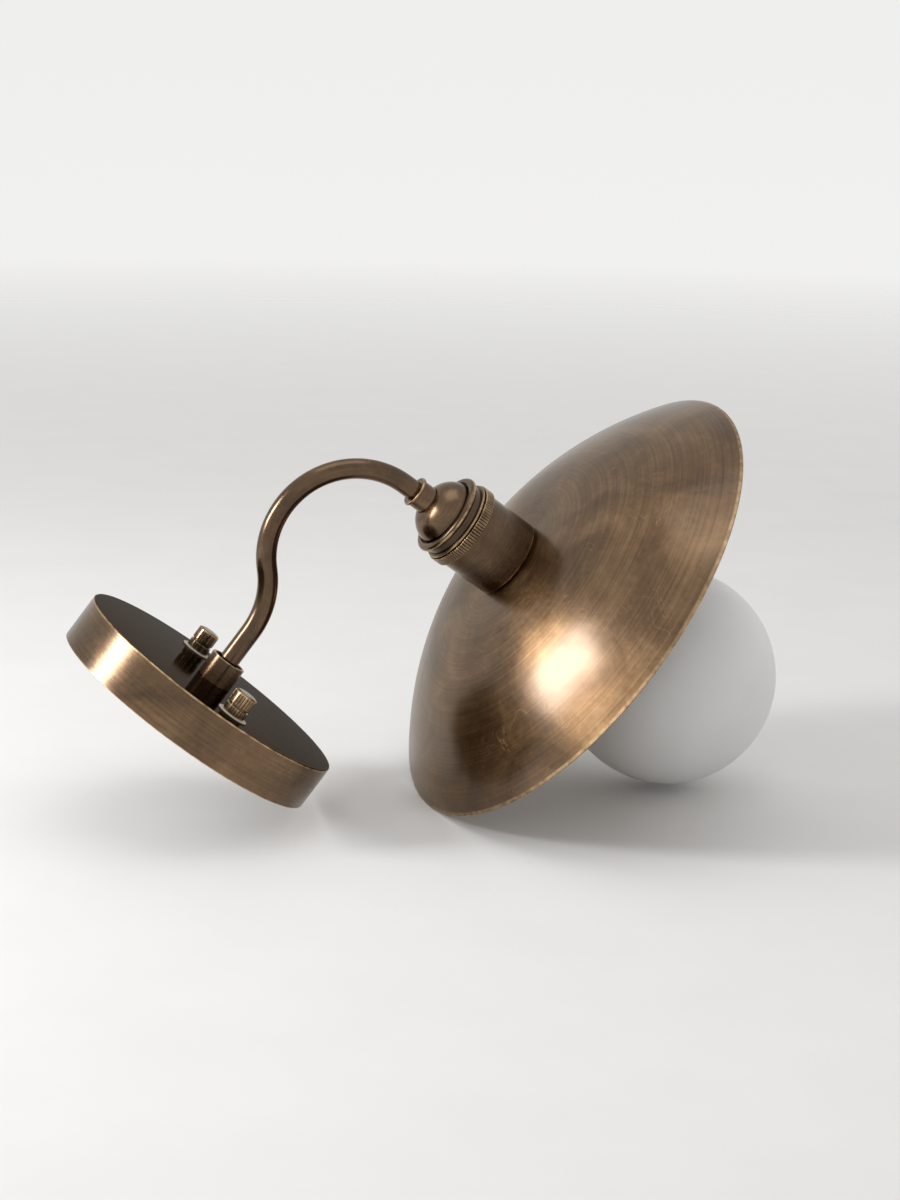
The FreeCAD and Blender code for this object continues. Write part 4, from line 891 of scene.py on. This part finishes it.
def make_shade_ring():
    """The threaded ring that clamps the shade, with grips round its edge."""
    start, end = rise("shade_ring")
    radius, bore, grips, grip_depth, grip_curve = turned_radius("shade_ring"), 15.48, 12, 0.9, 6.0
    dish, bore_top = end - 0.8, end - 1.4
    outline = soften([
        (bore, start, 0.3),
        (radius, start, 0.4),
        (radius, end, 0.5),
        (radius - 2.2, end, 0.4),
        (radius - 2.6, dish, 0.4),
        (bore + 0.9, dish, 0.3),
        (bore, bore_top, 0.3),
    ])
    outline = divide(outline, start, bore_top, 0.5)

    def grip(r, h, angle):
        if r < radius - 1.0:
            return 0.0, 0.0
        phase = (angle * grips / FULL_TURN) % 1.0 - 0.5
        reach = phase * FULL_TURN * radius / grips
        return -max(0.0, grip_depth - reach * reach / grip_curve), 0.0

    lathe("threaded_ring", upright(), outline, "shade_ring",
          [SLOT_FINISH["black_thermoset"]], ["shade_ring"], 288, ripple=grip)


# ---------------------------------------------------------------- lamp

EDISON_PITCH = 3.63


def edison(depth, low, high):
    """The rounded thread of a lamp cap between two heights, which it runs into gently."""
    run_in = 1.5

    def thread(r, h, angle):
        share = min(1.0, max(0.0, (h - low) / run_in), max(0.0, (high - h) / run_in))
        if share <= 0:
            return 0.0, 0.0
        wave = math.cos(FULL_TURN * (h / EDISON_PITCH - angle / FULL_TURN))
        return depth * (wave - 1) / 2 * share, 0.0

    return thread


def make_screw_shell():
    """The threaded brass shell inside the lampholder."""
    start, end = rise("screw_shell")
    radius, wall, depth, row_pitch = turned_radius("screw_shell"), 0.5, 0.45, 0.35
    outline = [(radius - wall, start, 0.0), (radius, start, 0.0), (radius, end, 0.0),
               (radius - wall, end, 0.0)]
    lathe("threaded_shell", upright(), divide(outline, start, end, row_pitch), "root",
          [SLOT_FINISH["contact_brass"]], ["screw_shell"], 96,
          ripple=edison(depth, start, end))


def make_lamp_cap():
    """The lamp's metal cap with its rolled thread."""
    start, end = rise("bulb_cap")
    radius, wall, depth, row_pitch = turned_radius("bulb_cap"), 0.4, 0.9, 0.3
    foot, taper, plain_end = 11.5, 1.6, 2.0
    outline = [
        (foot - wall, start, 0.0),
        (foot, start, 0.0),
        (radius, start + taper, 0.0),
        (radius, end, 0.0),
        (radius - wall, end, 0.0),
        (radius - wall, start + taper, 0.0),
    ]
    lathe("threaded_cap", upright(), divide(outline, start + taper, end, row_pitch), "lamp",
          [SLOT_FINISH["lamp_cap_metal"]], ["bulb_cap"], 128,
          ripple=edison(depth, start + taper, end - plain_end))


def make_globe():
    """The opal globe: a hollow ball that runs into the neck with a wide fillet."""
    low, high = rise("bulb_glass")
    ball, neck, fillet, wall, stub = turned_radius("bulb_glass"), 13.6, 30.0, 1.0, 12.6
    first, ball_steps, fillet_steps = 89, 84, 24
    centre = (0.0, high - ball)
    across = neck + fillet
    drop = math.sqrt((ball + fillet) ** 2 - across**2)
    fillet_centre = (across, centre[1] - drop)
    meet = math.degrees(math.atan2(-drop, across))
    cap_end = rise("bulb_cap")[1]
    outer = [(0.0, high), *arc(centre, ball, first, meet, ball_steps)]
    outer += list(arc(fillet_centre, fillet, meet + 180, 180, fillet_steps))[1:]
    outer += [(neck, cap_end + 0.1), (stub, cap_end - 0.4), (stub, low)]
    inner = [(stub - wall, low), (stub - wall, cap_end + 0.6)]
    inner += arc(fillet_centre, fillet + wall, 180, meet + 180, fillet_steps)
    inner += [*arc(centre, ball - wall, meet, first, ball_steps), (0.0, high - wall)]
    points = [(*p, 0.0) for p in outer + inner]
    lathe("opal_globe", upright(), points, "lamp", [SLOT_FINISH["opal_glass"]],
          ["bulb_glass"])


make_canopy()
make_hub()
for side, x in (("left", -NUT_X), ("right", NUT_X)):
    make_stud(side, x)
    make_washer(side, x)
    make_cap_nut(side, x)
make_arm()
make_ferrule()
make_dome()
make_collar()
make_shell()
make_shade()
make_shade_ring()
make_screw_shell()
make_lamp_cap()
make_globe()

# ---------------------------------------------------------------- stage

CAMERA_PLACE = Vector((970.01, -178.03, -331.58)) * MM
CAMERA_RIGHT = Vector((0.26039, -0.60202, 0.75483))
CAMERA_DOWN = Vector((0.27925, 0.79535, 0.53800))
CAMERA_LENS, CAMERA_SENSOR = 75.0, 36.0
FLOOR_DOWN = Vector((0.064, 0.803, 0.592)).normalized()
FLOOR_DEPTH = 0.0410
FLOOR_RADIUS, FLOOR_SIDES = 3.0, 64
FLOOR_MIDDLE = 90  # its height along the lamp's axis, in millimetres
FLOOR_FADE = (700.0, 2600.0)  # millimetres from its middle
PALE = tone(0.90, 0.895, 0.885)
DISTANT = tone(0.72, 0.725, 0.735)
PALE_BELOW, DISTANT_ABOVE = 0.40, 0.95
AIM = Vector((0.0, -90.0, 60.0)) * MM
SOFT_STRENGTH = 0.75  # of the world's diffuse light


def make_camera():
    """The view across the floor on which the light lies."""
    lens = bpy.data.cameras.new("camera")
    lens.lens, lens.sensor_width, lens.sensor_fit = CAMERA_LENS, CAMERA_SENSOR, "AUTO"
    lens.clip_start, lens.clip_end = 0.05, 50.0
    camera = bpy.data.objects.new("camera", lens)
    up = -CAMERA_DOWN
    back = CAMERA_RIGHT.cross(up)
    turn = Matrix((CAMERA_RIGHT, up, back)).transposed()
    camera.matrix_world = Matrix.Translation(CAMERA_PLACE) @ turn.to_4x4()
    bpy.context.scene.collection.objects.link(camera)
    bpy.context.scene.camera = camera


def make_world():
    """A pale surround, dimmer away from the floor and dimmer as a source of diffuse light."""
    world = bpy.data.worlds.new("studio")
    bpy.context.scene.world = world
    world.use_nodes = True
    tree = world.node_tree
    tree.nodes.clear()
    link = tree.links.new
    spot = tree.nodes.new("ShaderNodeTexCoord")
    lean = tree.nodes.new("ShaderNodeVectorMath")
    lean.operation = "DOT_PRODUCT"
    lean.inputs[1].default_value = -FLOOR_DOWN
    link(spot.outputs["Generated"], lean.inputs[0])
    ramp = tree.nodes.new("ShaderNodeValToRGB")
    shift = tree.nodes.new("ShaderNodeMapRange")
    shift.inputs["From Min"].default_value, shift.inputs["From Max"].default_value = -1.0, 1.0
    link(lean.outputs["Value"], shift.inputs["Value"])
    link(shift.outputs[0], ramp.inputs[0])
    stops = ramp.color_ramp.elements
    stops[0].position, stops[0].color = PALE_BELOW, PALE
    stops[1].position, stops[1].color = DISTANT_ABOVE, DISTANT
    seen, soft, out, blend = (tree.nodes.new("ShaderNode" + kind) for kind in
                              ("Background", "Background", "OutputWorld", "MixShader"))
    link(ramp.outputs[0], seen.inputs[0])
    soft.inputs[0].default_value, soft.inputs[1].default_value = PALE, SOFT_STRENGTH
    rays = tree.nodes.new("ShaderNodeLightPath")
    total = rays.outputs["Is Camera Ray"]
    for label in ("Is Glossy Ray", "Is Transmission Ray"):
        either = tree.nodes.new("ShaderNodeMath")
        either.operation = "MAXIMUM"
        link(total, either.inputs[0])
        link(rays.outputs[label], either.inputs[1])
        total = either.outputs[0]
    link(total, blend.inputs[0])
    link(soft.outputs[0], blend.inputs[1])
    link(seen.outputs[0], blend.inputs[2])
    link(blend.outputs[0], out.inputs[0])


def make_floor():
    """A pale floor under the light as it lies, faded out far away and unseen from below."""
    f = Finish("pale_floor", Roughness=0.6)
    spot = f.place()
    grain = f.noise(spot, 0.02, 4)
    colour = f.mix(f.fit(grain, 0.3, 0.7), tone(0.80, 0.795, 0.785), tone(0.82, 0.815, 0.805))
    f.link(colour, f.shader.inputs["Base Color"])
    f.shader.inputs["Specular IOR Level"].default_value = 0.15
    away = f.node("VectorMath", output="Value", options={"operation": "LENGTH"}, Vector=spot)
    fade = f.fit(away, *FLOOR_FADE)
    behind = f.node("NewGeometry", output="Backfacing")
    blend = f.tree.nodes.new("ShaderNodeMixShader")
    f.link(f.math("MAXIMUM", fade, behind), blend.inputs[0])
    f.link(f.shader.outputs[0], blend.inputs[1])
    f.link(f.node("BsdfTransparent"), blend.inputs[2])
    f.link(blend.outputs[0], f.tree.nodes["Material Output"].inputs[0])
    mesh = bpy.data.meshes.new("floor")
    centre = Vector((0.0, HOLDER_Y * MM, FLOOR_MIDDLE * MM))
    angles = [FULL_TURN * k / FLOOR_SIDES for k in range(FLOOR_SIDES)]
    ring = [(FLOOR_RADIUS * math.cos(a), FLOOR_RADIUS * math.sin(a), 0.0) for a in angles]
    mesh.from_pydata(ring, [], [tuple(range(FLOOR_SIDES))])
    mesh.materials.append(f.material)
    floor = bpy.data.objects.new("floor", mesh)
    foot = centre + FLOOR_DOWN * (FLOOR_DEPTH - centre.dot(FLOOR_DOWN))
    turn = (-FLOOR_DOWN).to_track_quat("Z", "Y")
    floor.matrix_world = Matrix.Translation(foot) @ turn.to_matrix().to_4x4()
    bpy.context.scene.collection.objects.link(floor)


def softbox(name, direction, distance, wide, tall, power):
    """A rectangular lamp (metres, watts) that faces the middle of the object."""
    lamp = bpy.data.lights.new(name, "AREA")
    lamp.shape, lamp.size, lamp.size_y, lamp.energy = "RECTANGLE", wide, tall, power
    thing = bpy.data.objects.new(name, lamp)
    away = Vector(direction).normalized()
    turn = away.to_track_quat("Z", "Y")
    thing.matrix_world = Matrix.Translation(AIM + away * distance) @ turn.to_matrix().to_4x4()
    bpy.context.scene.collection.objects.link(thing)


make_camera()
make_world()
make_floor()
softbox("window", (-0.08, 0.23, -0.97), distance=1.0, wide=0.26, tall=0.40, power=7.0)
softbox("sky", -FLOOR_DOWN, distance=1.3, wide=0.9, tall=0.9, power=2.4)
bpy.context.scene.view_settings.view_transform = "Standard"
